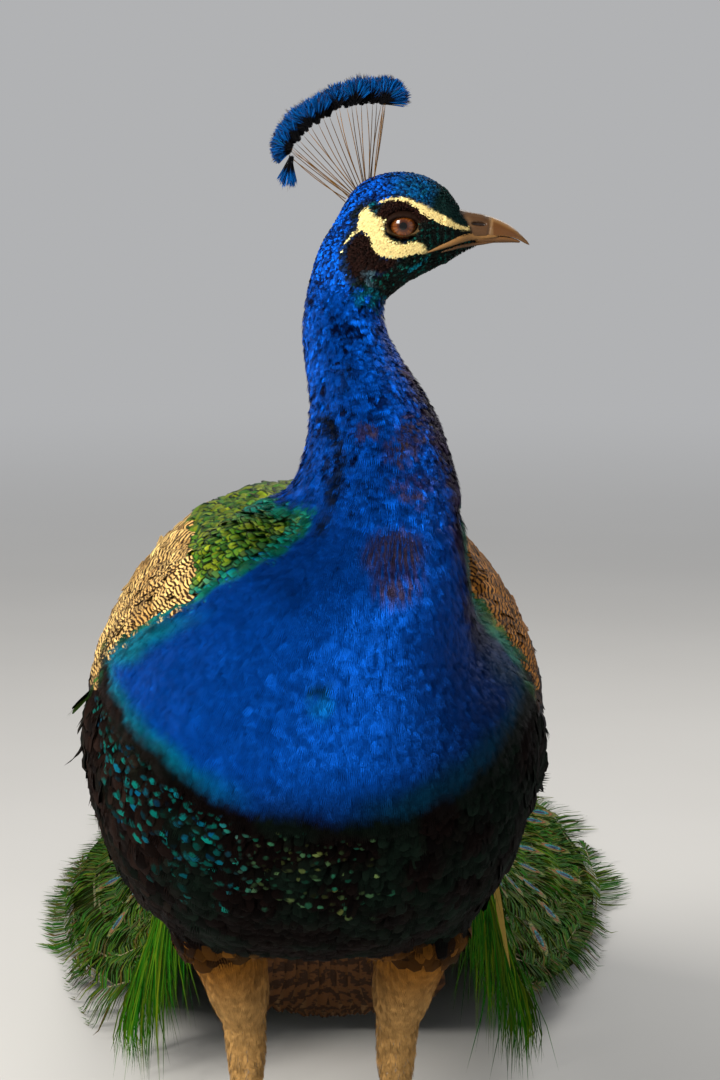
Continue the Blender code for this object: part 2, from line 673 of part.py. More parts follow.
def main():
    """Builds the peacock."""
    for old in list(bpy.data.objects):
        bpy.data.objects.remove(old)
    body, body_cutter = make_body()
    eyes = [make_eye("eye_left", 1), make_eye("eye_right", -1)]
    for eye in eyes:
        cut_back(body["head"], grown(eye, GAP))
    bill = make_bill()
    for mandible in bill:
        cut_back(mandible, body_cutter)
    crest = make_crest()
    cut_back(crest, body_cutter)
    wings = make_wings(body_cutter)
    wing_cutters = [w[2] for w in wings]
    tail = make_tail([body_cutter])
    train = make_train([body_cutter, grown(tail, GAP), *wing_cutters])
    legs = [
        part
        for side, mirror in (("left", False), ("right", True))
        for part in make_leg(side, mirror, body_cutter)
    ]
    wing_parts = [w for wing in wings for w in wing[:2]]
    stand_on_origin([*body.values(), *eyes, *bill, crest, *wing_parts, tail, *train, *legs])


main()
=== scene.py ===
"""The looks of a life-size museum model of an Indian peacock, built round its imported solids.

One skin stands for the solids of flesh. Feathers of several kinds lie on it as joined meshes, smallest on the face,
and the crest, the bill, the eyes, the legs, the tail and the train are pieces of their own.

Sizes are in metres. They are written in the bird's own frame, where the floor is z = 0, the bird faces -Y, its left
side is +X and the middle of its feet is near the origin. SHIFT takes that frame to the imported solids' frame.
"""

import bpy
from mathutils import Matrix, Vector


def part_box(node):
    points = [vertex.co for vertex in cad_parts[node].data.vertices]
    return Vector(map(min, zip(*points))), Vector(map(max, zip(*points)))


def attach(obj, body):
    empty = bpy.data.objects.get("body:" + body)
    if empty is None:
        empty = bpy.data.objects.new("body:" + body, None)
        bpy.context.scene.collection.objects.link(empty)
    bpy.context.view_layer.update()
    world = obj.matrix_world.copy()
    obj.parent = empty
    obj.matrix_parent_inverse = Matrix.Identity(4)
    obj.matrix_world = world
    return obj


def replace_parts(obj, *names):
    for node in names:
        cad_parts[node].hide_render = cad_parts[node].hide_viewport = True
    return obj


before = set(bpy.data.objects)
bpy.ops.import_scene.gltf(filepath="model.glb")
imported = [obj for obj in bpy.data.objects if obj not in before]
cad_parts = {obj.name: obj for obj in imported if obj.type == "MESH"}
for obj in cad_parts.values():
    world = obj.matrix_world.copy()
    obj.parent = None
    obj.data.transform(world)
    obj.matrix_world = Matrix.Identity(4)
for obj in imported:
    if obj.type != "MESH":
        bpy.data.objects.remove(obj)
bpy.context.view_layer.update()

import copy
import logging
import math
from collections.abc import Callable, Sequence
from dataclasses import dataclass, field
from enum import Enum

import bmesh
import bpy
import numpy as np
from mathutils import Vector
from mathutils.bvhtree import BVHTree

log = logging.getLogger("peacock")

Array = np.ndarray
Piece = bpy.types.Object
Socket = bpy.types.NodeSocket
Chance = np.random.Generator
Triple = tuple[float, float, float]
ByPlace = Callable[[Array, Array], Array]  # from places and their normals

# --- places ---
EYE = np.array((0.0503, -0.065, 0.6758))  # between the two eyes, on the head's middle plane
EYE_OFFSET = 0.0124  # of each eye's centre from that plane
_low, _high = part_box("eye_right")
SHIFT = np.array((0.0, (_low.y + _high.y) / 2 - (EYE[1] - EYE_OFFSET), 0.0))
UP = np.array((0.0, 0.0, 1.0))

# The body's middle line from the bill's base to the tail: x, y, z and the body's half width there.
SPINE = np.array((
    (0.0898, -0.065, 0.6755, 0.0094), (0.0845, -0.065, 0.6791, 0.0122), (0.0776, -0.065, 0.6814, 0.0155),
    (0.069, -0.065, 0.6818, 0.018), (0.0595, -0.065, 0.6801, 0.019), (0.0491, -0.065, 0.6761, 0.0193),
    (0.0401, -0.065, 0.6699, 0.0195), (0.0325, -0.065, 0.6621, 0.0195), (0.0263, -0.065, 0.6541, 0.0198),
    (0.0204, -0.065, 0.6455, 0.0205), (0.0173, -0.067, 0.6215, 0.0225), (0.024, -0.0725, 0.5955, 0.0285),
    (0.0345, -0.0835, 0.565, 0.038), (0.0375, -0.0975, 0.53, 0.047), (0.0325, -0.107, 0.491, 0.064),
    (0.0165, -0.106, 0.4545, 0.101), (0.0055, -0.0925, 0.4175, 0.127), (-0.002, -0.058, 0.3865, 0.138),
    (-0.0035, 0.001, 0.3665, 0.138), (-0.0035, 0.075, 0.3565, 0.134), (-0.002, 0.151, 0.342, 0.114),
    (-0.001, 0.2335, 0.3325, 0.076), (0.0, 0.296, 0.325, 0.03),
))
# The train from its root back: y, height of its crown, height of its edges, half its width.
TRAIN = np.array((
    (0.14, 0.483, 0.452, 0.058), (0.215, 0.444, 0.39, 0.08), (0.29, 0.4, 0.285, 0.092), (0.37, 0.347, 0.145, 0.12),
    (0.46, 0.288, 0.06, 0.15), (0.57, 0.221, 0.024, 0.184), (0.7, 0.156, 0.01, 0.217), (0.85, 0.101, 0.005, 0.243),
    (1.01, 0.06, 0.004, 0.255), (1.18, 0.033, 0.004, 0.252), (1.34, 0.018, 0.004, 0.232), (1.48, 0.011, 0.004, 0.19),
    (1.58, 0.008, 0.004, 0.132), (1.64, 0.006, 0.003, 0.062),
))
TRAIN_ARCH = 2.2  # power of the curve from the train's crown to its edges


# --- small helpers ---
def unit(vectors: Array) -> Array:
    """The vectors at length one."""
    return vectors / np.maximum(np.linalg.norm(vectors, axis=-1, keepdims=True), 1e-12)


def across(vectors: Array, normals: Array) -> Array:
    """The part of the vectors that lies in the planes of the normals, at length one."""
    return unit(vectors - normals * (vectors * normals).sum(-1, keepdims=True))


def soft(value: Array, edge: float, width: float) -> Array:
    """0 well below the edge and 1 well above it, with a smooth step of that width.

    Args:
        value: The numbers to judge.
        edge: Where the step is half done.
        width: How wide the step is.

    Returns:
        The step at each number.
    """
    t = np.clip((value - edge) / width + 0.5, 0, 1)
    return t * t * (3 - 2 * t)


def ripple(points: Array, size: float, seed: int) -> Array:
    """A smooth mottling from about -1 to 1.

    Args:
        points: Where to read it.
        size: The size of its patches.
        seed: Which mottling.

    Returns:
        Its value at each point.
    """
    random = np.random.default_rng(seed)
    total = np.zeros(len(points))
    waves = 7
    for _ in range(waves):
        way = unit(random.normal(size=3)) * random.uniform(0.7, 1.5) * 2 * math.pi / (2 * size)
        total += np.sin(points @ way + random.uniform(0, 2 * math.pi))
    return total / math.sqrt(waves)


def blend(first: Array | Triple, second: Array | Triple, share: Array) -> Array:
    """Colours between two others, by a share for each."""
    return np.asarray(first) + (np.asarray(second) - first) * share[:, None]


def smooth_line(points: Sequence[Sequence[float]], places: Array) -> Array:
    """A smooth curve through points, read at places from 0 to 1.

    Args:
        points: The points, at even steps of the place.
        places: Where to read the curve.

    Returns:
        One point for each place.
    """
    line = np.asarray(points, float)
    padded = np.vstack((2 * line[0] - line[1], line, 2 * line[-1] - line[-2]))
    t = np.clip(places, 0, 1) * (len(line) - 1)
    i = np.minimum(t.astype(int), len(line) - 2)
    u = (t - i)[:, None]
    p0, p1, p2, p3 = (padded[i + k] for k in range(4))
    return 0.5 * (
        2 * p1 + (p2 - p0) * u + (2 * p0 - 5 * p1 + 4 * p2 - p3) * u**2 + (3 * p1 - p0 - 3 * p2 + p3) * u**3
    )


def head_point(forward: float, up: float, side: float = 0.0) -> Array:
    """The place that far ahead of the eyes, above them, and to the left of the head's middle plane."""
    return EYE + np.array((forward, side, up))


def alone(piece: Piece) -> None:
    """Leaves that piece alone selected and active."""
    bpy.ops.object.select_all(action="DESELECT")
    piece.select_set(True)
    bpy.context.view_layer.objects.active = piece


def apply(piece: Piece, kind: str, **settings: object) -> None:
    """Adds a modifier to a piece and applies it.

    Args:
        piece: The piece.
        kind: The modifier's type.
        settings: Its settings.
    """
    alone(piece)
    modifier = piece.modifiers.new(kind.lower(), kind)
    for key, value in settings.items():
        setattr(modifier, key, value)
    bpy.ops.object.modifier_apply(modifier=modifier.name)


def points_of(piece: Piece) -> Array:
    """A mesh's points, in the bird's frame."""
    found = np.empty(len(piece.data.vertices) * 3, np.float32)
    piece.data.vertices.foreach_get("co", found)
    return found.reshape(-1, 3).astype(float) - SHIFT


def move_points(piece: Piece, points: Array) -> None:
    """Puts a mesh's points at places in the bird's frame."""
    piece.data.vertices.foreach_set("co", (points + SHIFT).astype(np.float32).ravel())
    piece.data.update()


def normals_of(piece: Piece) -> Array:
    """The normals at a mesh's points."""
    found = np.empty(len(piece.data.vertices) * 3, np.float32)
    piece.data.vertices.foreach_get("normal", found)
    return unit(found.reshape(-1, 3).astype(float))


def copy_of(*nodes: str, name: str, stands: bool = True) -> Piece:
    """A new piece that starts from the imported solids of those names, its triangles merged.

    Args:
        nodes: The solids to copy.
        name: The new piece's name.
        stands: Whether it stands for those solids.

    Returns:
        The piece.
    """
    bpy.ops.object.select_all(action="DESELECT")
    copies = []
    for node in nodes:
        copied = bpy.data.objects.new(node + "_copy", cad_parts[node].data.copy())
        bpy.context.scene.collection.objects.link(copied)
        copied.select_set(True)
        copies.append(copied)
    piece = copies[0]
    bpy.context.view_layer.objects.active = piece
    if len(copies) > 1:
        bpy.ops.object.join()
    piece.name = piece.data.name = name
    piece.data.materials.clear()
    bpy.ops.object.mode_set(mode="EDIT")
    bpy.ops.mesh.select_all(action="SELECT")
    bpy.ops.mesh.remove_doubles(threshold=1e-5)
    bpy.ops.object.mode_set(mode="OBJECT")
    piece.data.shade_smooth()
    if stands:
        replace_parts(piece, *nodes)
    return piece


def rounded_copy(*nodes: str, name: str, voxel: float, rounds: int, stands: bool = True) -> Piece:
    """A copy of solids as one finely meshed and smoothed shell.

    Args:
        nodes: The solids to copy.
        name: The new piece's name.
        voxel: How fine its mesh is.
        rounds: How many times it is smoothed.
        stands: Whether it stands for those solids.

    Returns:
        The piece.
    """
    piece = copy_of(*nodes, name=name, stands=stands)
    apply(piece, "REMESH", mode="VOXEL", voxel_size=voxel)
    apply(piece, "SMOOTH", factor=0.5, iterations=rounds)
    return piece


def make_piece(name: str, points: Array, quads: Array | None, triangles: Array | None = None) -> Piece:
    """A smooth-shaded piece from points in the bird's frame.

    Args:
        name: The piece's name.
        points: Its points.
        quads: Four indices for each four-sided face.
        triangles: Three indices for each three-sided face.

    Returns:
        The new object.
    """
    faces = [f for f in (quads, triangles) if f is not None and len(f)]
    mesh = bpy.data.meshes.new(name)
    mesh.vertices.add(len(points))
    mesh.vertices.foreach_set("co", (points + SHIFT).astype(np.float32).ravel())
    corners = np.concatenate([f.ravel() for f in faces]).astype(np.int32)
    sizes = np.concatenate([np.full(len(f), f.shape[1]) for f in faces])
    mesh.loops.add(len(corners))
    mesh.loops.foreach_set("vertex_index", corners)
    mesh.polygons.add(len(sizes))
    starts = np.concatenate(([0], np.cumsum(sizes)[:-1])).astype(np.int32)
    mesh.polygons.foreach_set("loop_start", starts)
    mesh.update(calc_edges=True)
    mesh.shade_smooth()
    piece = bpy.data.objects.new(name, mesh)
    bpy.context.scene.collection.objects.link(piece)
    return piece


def set_attribute(piece: Piece, name: str, values: Array) -> None:
    """Gives a piece's points an attribute: one number, or a colour of three or four numbers, for each.

    Args:
        piece: The piece.
        name: The attribute's name.
        values: One row for each point.
    """
    if values.ndim == 1:
        piece.data.attributes.new(name, "FLOAT", "POINT").data.foreach_set("value", values.astype(np.float32))
        return
    colours = np.ones((len(values), 4), np.float32)
    colours[:, : values.shape[1]] = values
    piece.data.attributes.new(name, "FLOAT_COLOR", "POINT").data.foreach_set("color", colours.ravel())


def set_unwrap(piece: Piece, places: Array) -> None:
    """Gives a piece its UV map OFBake.

    Args:
        piece: The piece.
        places: One place from 0 to 1 for each point.
    """
    corners = np.empty(len(piece.data.loops), np.int32)
    piece.data.loops.foreach_get("vertex_index", corners)
    layer = piece.data.uv_layers.new(name="OFBake")
    layer.uv.foreach_set("vector", places[corners].astype(np.float32).ravel())


def mark(piece: Piece, tones: Array, vanes: Array, places: Array, spots: Array | None = None) -> None:
    """Gives a feathered piece what its finish reads.

    Args:
        piece: The piece.
        tones: Each point's colour.
        vanes: Its place along and across its own feather, and that feather's length.
        places: Its place on the unwrap.
        spots: Its second colour, and how plainly that shows, if it has one.
    """
    set_attribute(piece, "tone", tones)
    set_attribute(piece, "spot", np.zeros((len(tones), 4)) if spots is None else spots)
    set_attribute(piece, "vane", vanes)
    set_unwrap(piece, places)


def dress(piece: Piece, finish: "Finish", slot: str) -> Piece:
    """Gives a piece its finish and its body.

    Args:
        piece: The piece.
        finish: The finish.
        slot: Not used.

    Returns:
        The piece.
    """
    piece.data.materials.clear()
    piece.data.materials.append(finish.material())
    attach(piece, "root")
    piece.data.calc_loop_triangles()
    log.info("%s: %d triangles", piece.name, len(piece.data.loop_triangles))
    return piece


# --- finishes ---
class Level:
    """A number that varies over a surface. An expression on it adds its Math nodes."""

    def __init__(self, board: "Board", socket: Socket) -> None:
        """Keeps the node board and the socket."""
        self.board, self.socket = board, socket

    def sum_with(self, operation: str, other: "Level | float", swap: bool = False) -> "Level":
        """The result of a Math node on this number and another."""
        pair = (other, self) if swap else (self, other)
        return self.board.maths(operation, *pair)

    def __add__(self, other: "Level | float") -> "Level":
        """This number and another."""
        return self.sum_with("ADD", other)

    def __sub__(self, other: "Level | float") -> "Level":
        """This number less another."""
        return self.sum_with("SUBTRACT", other)

    def __rsub__(self, other: float) -> "Level":
        """Another number less this one."""
        return self.sum_with("SUBTRACT", other, swap=True)

    def __mul__(self, other: "Level | float") -> "Level":
        """This number times another."""
        return self.sum_with("MULTIPLY", other)

    __radd__, __rmul__ = __add__, __mul__

    def __abs__(self) -> "Level":
        """This number without its sign."""
        return self.board.maths("ABSOLUTE", self)

    def sine(self) -> "Level":
        """The sine of this number."""
        return self.board.maths("SINE", self)

    def power(self, exponent: float) -> "Level":
        """This number to a power."""
        return self.sum_with("POWER", exponent)

    def step(self, low: float, high: float) -> "Level":
        """0 below low and 1 above high, smooth between, or the other way round if low is the greater."""
        sockets = {"Value": self, "From Min": min(low, high), "From Max": max(low, high)}
        if low > high:
            sockets |= {"To Min": 1.0, "To Max": 0.0}
        made = self.board.node("ShaderNodeMapRange", {"interpolation_type": "SMOOTHSTEP"}, sockets)
        return Level(self.board, made.outputs["Result"])


class Board:
    """The nodes of one material round its Principled shader."""

    def __init__(self, name: str) -> None:
        """Starts a material with that name."""
        self.material = bpy.data.materials.new(name)
        self.material.use_nodes = True
        self.tree = self.material.node_tree
        self.shader = self.tree.nodes["Principled BSDF"]

    def node(self, kind: str, settings: dict | None = None, sockets: dict | None = None) -> bpy.types.Node:
        """A node of that type.

        Args:
            kind: The node's type.
            settings: Its own settings, set first.
            sockets: A value, colour, Level or socket for each input, by its name or number.

        Returns:
            The node.
        """
        made = self.tree.nodes.new(kind)
        for key, value in (settings or {}).items():
            setattr(made, key, value)
        for key, value in (sockets or {}).items():
            self.feed(made.inputs[key], value)
        return made

    def feed(self, target: Socket, value: object) -> None:
        """Links a Level or a socket to an input, or sets its number or colour."""
        if isinstance(value, Level):
            value = value.socket
        if isinstance(value, Socket):
            self.tree.links.new(value, target)
        elif isinstance(value, tuple) and target.type == "RGBA":
            target.default_value = (*value[:3], 1.0)
        else:
            target.default_value = value

    def maths(self, operation: str, *values: "Level | float") -> Level:
        """A Math node on one or two numbers."""
        made = self.node("ShaderNodeMath", {"operation": operation}, dict(enumerate(values)))
        return Level(self, made.outputs[0])

    def place(self, scale: Triple = (1.0, 1.0, 1.0)) -> Socket:
        """The object's own coordinates, stretched along each axis."""
        here = self.node("ShaderNodeTexCoord").outputs["Object"]
        return self.node("ShaderNodeMapping", None, {"Vector": here, "Scale": scale}).outputs[0]

    def axis(self, where: Socket, letter: str) -> Level:
        """One coordinate of a vector or channel of a colour."""
        return Level(self, self.node("ShaderNodeSeparateXYZ", None, {0: where}).outputs[letter])

    def noise(self, scale: float, where: Socket | None = None, detail: float = 3.0) -> Level:
        """A noise of that scale, from 0 to 1, on the object's coordinates or the vector given."""
        where = where or self.place()
        made = self.node("ShaderNodeTexNoise", None, {"Vector": where, "Scale": scale, "Detail": detail})
        return Level(self, made.outputs[0])

    def attribute(self, name: str) -> bpy.types.Node:
        """The node that reads an attribute of the piece."""
        return self.node("ShaderNodeAttribute", {"attribute_name": name})

    def mix(self, share: "Level | float", first: object, second: object, how: str = "MIX") -> Socket:
        """A colour between two others.

        Args:
            share: How far towards the second.
            first: A colour or its socket.
            second: A colour or its socket.
            how: The way of mixing.

        Returns:
            The colour's socket.
        """
        made = self.node("ShaderNodeMix", {"data_type": "RGBA", "blend_type": how, "clamp_result": False})
        self.feed(made.inputs[0], share)
        self.feed(made.inputs[6], first)
        self.feed(made.inputs[7], second)
        return made.outputs[2]

    def grey(self, level: Level) -> Socket:
        """A number as a grey colour, to brighten or darken another with."""
        return self.node("ShaderNodeCombineXYZ", None, {0: level, 1: level, 2: level}).outputs[0]

    def bump(self, height: Level, distance: float, strength: float = 1.0) -> None:
        """Gives the shader a relief of that depth."""
        sockets = {"Height": height, "Distance": distance, "Strength": strength}
        self.feed(self.shader.inputs["Normal"], self.node("ShaderNodeBump", None, sockets).outputs[0])

    def set(self, **values: object) -> bpy.types.Material:
        """Sets the shader's inputs by their names, with _ for a space, and gives the material."""
        for key, value in values.items():
            self.feed(self.shader.inputs[key.replace("_", " ")], value)
        return self.material


class Finish:
    """A finish, whose material is made once."""

    made: dict[object, bpy.types.Material] = {}

    def material(self) -> bpy.types.Material:
        """The finish's material."""
        if self not in Finish.made:
            Finish.made[self] = self.paint()
        return Finish.made[self]

    def paint(self) -> bpy.types.Material:
        """Makes the material."""
        raise NotImplementedError


class Pattern(Enum):
    """What a feather shows besides its own colour."""

    PLAIN = "plain"
    SPOTTED = "spotted"  # a bright spot before its tip
    SCALED = "scaled"  # a dark edge and a bronze middle
    BARRED = "barred"  # wavy bars across it


@dataclass(frozen=True)
class Plumage(Finish):
    """Feathers, whose own colour is in the attribute tone and whose second colour is in the attribute spot."""

    name: str
    pattern: Pattern = Pattern.PLAIN
    roughness: float = 0.45
    metallic: float = 0.45
    specular: float = 0.15
    barbs: float = 26.0  # fine lines along a feather, for each half of it
    bars: float = 900.0  # turns of the bars for each metre along a feather
    base_bars: float = 0.0  # turns of the bars that even the shortest feather has
    slant: float = 1.6  # how far the bars lean back from the shaft
    relief: float = 0.0004

    def paint(self) -> bpy.types.Material:
        """Feathers with fine barbs, a play of light and the pattern."""
        board = Board(self.name)
        tone = board.attribute("tone").outputs["Color"]
        spot = board.attribute("spot")
        vane = board.attribute("vane").outputs["Color"]
        along, beside, length = (board.axis(vane, letter) for letter in "XYZ")
        side = abs(beside - 0.5) * 2.0
        colour: Socket = tone
        if self.pattern is Pattern.SPOTTED:
            plain = Level(board, spot.outputs["Alpha"])
            reach = (abs(along - 0.86) * 5.2).power(2.0) + (side * 1.15).power(2.0) + board.noise(520.0) * 1.5
            share = (reach + (1.0 - plain) * 1.3).step(1.95, 0.95) * plain
            colour = board.mix(share, tone, spot.outputs["Color"])
        elif self.pattern is Pattern.SCALED:
            middle = (abs(along - 0.62) * 2.4).power(2.0) + (side * 1.15).power(2.0)
            colour = board.mix(middle.step(0.95, 0.25) * 0.75, tone, spot.outputs["Color"])
            rim = along.step(0.84, 0.96) + side.step(0.66, 0.95) + board.noise(420.0) * 0.3
            colour = board.mix(rim.step(0.2, 1.0) * 0.9, colour, (0.002, 0.008, 0.002))
        elif self.pattern is Pattern.BARRED:
            wobble = board.noise(60.0) * 9.0 + board.noise(240.0) * 5.0
            waves = (along * (length * self.bars + self.base_bars) + side * self.slant + wobble).sine()
            uneven = board.noise(130.0) * 1.4 - 0.7
            share = (waves + uneven).step(-0.3, 0.45) * Level(board, spot.outputs["Alpha"])
            colour = board.mix(share, tone, spot.outputs["Color"])
        streaks = (beside * (self.barbs * 2 * math.pi) + along * 9.0).sine()
        mottle = board.noise(260.0, detail=2.0)
        shade = 0.82 + streaks * 0.1 + mottle * 0.34
        colour = board.mix(1.0, colour, board.grey(shade), "MULTIPLY")
        board.bump(streaks * 0.5 + mottle, self.relief, 0.5)
        return board.set(
            Base_Color=colour, Roughness=self.roughness - 0.08 + mottle * 0.16, Metallic=self.metallic,
            Specular_IOR_Level=self.specular,
        )


DOWN = Plumage("down", roughness=0.7, metallic=0.1, specular=0.1)


@dataclass(frozen=True)
class Horn(Finish):
    """Horn and bare skin whose own colour is in the attribute tone."""

    name: str
    roughness: float = 0.32
    grain: float = 700.0  # scale of the fine grain
    depth: float = 0.00012
    coat: float = 0.15
    specular: float = 0.25

    def paint(self) -> bpy.types.Material:
        """A fine grain along the horn, worn a little here and there."""
        board = Board(self.name)
        tone = board.attribute("tone").outputs["Color"]
        grain = board.noise(self.grain, board.place((0.25, 1.0, 1.0)))
        worn = board.noise(self.grain * 0.22, detail=2.0)
        colour = board.mix(1.0, tone, board.grey(0.72 + grain * 0.34 + worn * 0.22), "MULTIPLY")
        board.bump(grain + worn * 0.6, self.depth)
        return board.set(
            Base_Color=colour, Roughness=self.roughness + worn * 0.2, Coat_Weight=self.coat, Coat_Roughness=0.25,
            Specular_IOR_Level=self.specular,
        )


# --- the body's middle line ---
class Spine:
    """The body's middle line, which gives the lie of the coat and the body's unwrap."""

    def __init__(self) -> None:
        """Reads the middle line at even steps."""
        steps = np.linspace(0, 1, 110)
        line = smooth_line(SPINE, steps)
        self.points, self.radius = line[:, :3], line[:, 3]
        course = np.gradient(self.points, axis=0)
        run = np.linalg.norm(course, axis=1)
        self.course = course / run[:, None]
        self.growth = np.gradient(self.radius) / run / self.radius
        self.travel = np.concatenate(([0.0], np.cumsum(run)[:-1])) / run.sum()
        side = np.cross(self.course, UP)
        side[:, 2] = 0
        self.side = unit(side)
        for k in range(1, len(self.side)):
            if self.side[k] @ self.side[k - 1] < 0:
                self.side[k] *= -1

    def weights(self, points: Array) -> Array:
        """How much each step of the line counts at each point."""
        gap = np.linalg.norm(points[:, None, :] - self.points[None], axis=2)
        near = gap.min(axis=1, keepdims=True)
        spread = 0.006 + 0.06 * near
        weight = np.exp(-((gap - near) / spread))
        return weight / weight.sum(axis=1, keepdims=True)

    def read(self, points: Array) -> tuple[Array, Array]:
        """The lie of the coat and the unwrap at points.

        Args:
            points: The points.

        Returns:
            The way that feathers point there, and places on the unwrap from 0 to 1.
        """
        lies, places = [], []
        for some in np.array_split(points, max(1, len(points) // 20000)):
            weight = self.weights(some)
            out = some - weight @ self.points
            lie = unit(weight @ self.course + out * np.clip(weight @ self.growth, -25, 25)[:, None])
            share = soft(-some[:, 2], -0.488, 0.05) * soft(-some[:, 1], -0.005, 0.07)
            lies.append(unit(blend(lie, unit(some - NECK_BASE), share)))
            side = unit(weight @ self.side)
            course = unit(weight @ self.course)
            front = np.cross(side, course)
            angle = np.arctan2((out * side).sum(1), (out * front).sum(1)) / (2 * math.pi) + 0.5
            places.append(np.stack((weight @ self.travel, angle), axis=1))
        return np.concatenate(lies), np.concatenate(places) * 0.97 + 0.015


NECK_BASE = np.array((0.028, -0.108, 0.528))  # the breast's feathers point away from here
SPINE_LINE = Spine()


# --- markings ---
class Outline:
    """A closed outline on the side of the head, in millimetres ahead of the eye and above it."""

    def __init__(self, *points: tuple[float, float]) -> None:
        """Keeps the outline's corners, in metres."""
        self.points = np.array(points) / 1000

    def inside(self, forward: Array, up: Array) -> Array:
        """Whether each place is inside."""
        inside = np.zeros(len(forward), bool)
        for (x1, y1), (x2, y2) in zip(self.points, np.roll(self.points, -1, axis=0)):
            if y1 != y2:
                crosses = (y1 > up) != (y2 > up)
                inside ^= crosses & (forward < (x2 - x1) * (up - y1) / (y2 - y1) + x1)
        return inside

    def gap(self, forward: Array, up: Array, closed: bool = True) -> Array:
        """How far each place is from the outline."""
        place = np.stack((forward, up), axis=1)
        ends = np.roll(self.points, -1, axis=0)
        pairs = list(zip(self.points, ends))[: None if closed else -1]
        found = np.full(len(forward), 1.0)
        for start, end in pairs:
            t = np.clip((place - start) @ (end - start) / ((end - start) @ (end - start)), 0, 1)
            found = np.minimum(found, np.linalg.norm(place - start - t[:, None] * (end - start), axis=1))
        return found

    def depth(self, forward: Array, up: Array) -> Array:
        """How far each place is inside, or less than zero outside."""
        return self.gap(forward, up) * np.where(self.inside(forward, up), 1, -1)


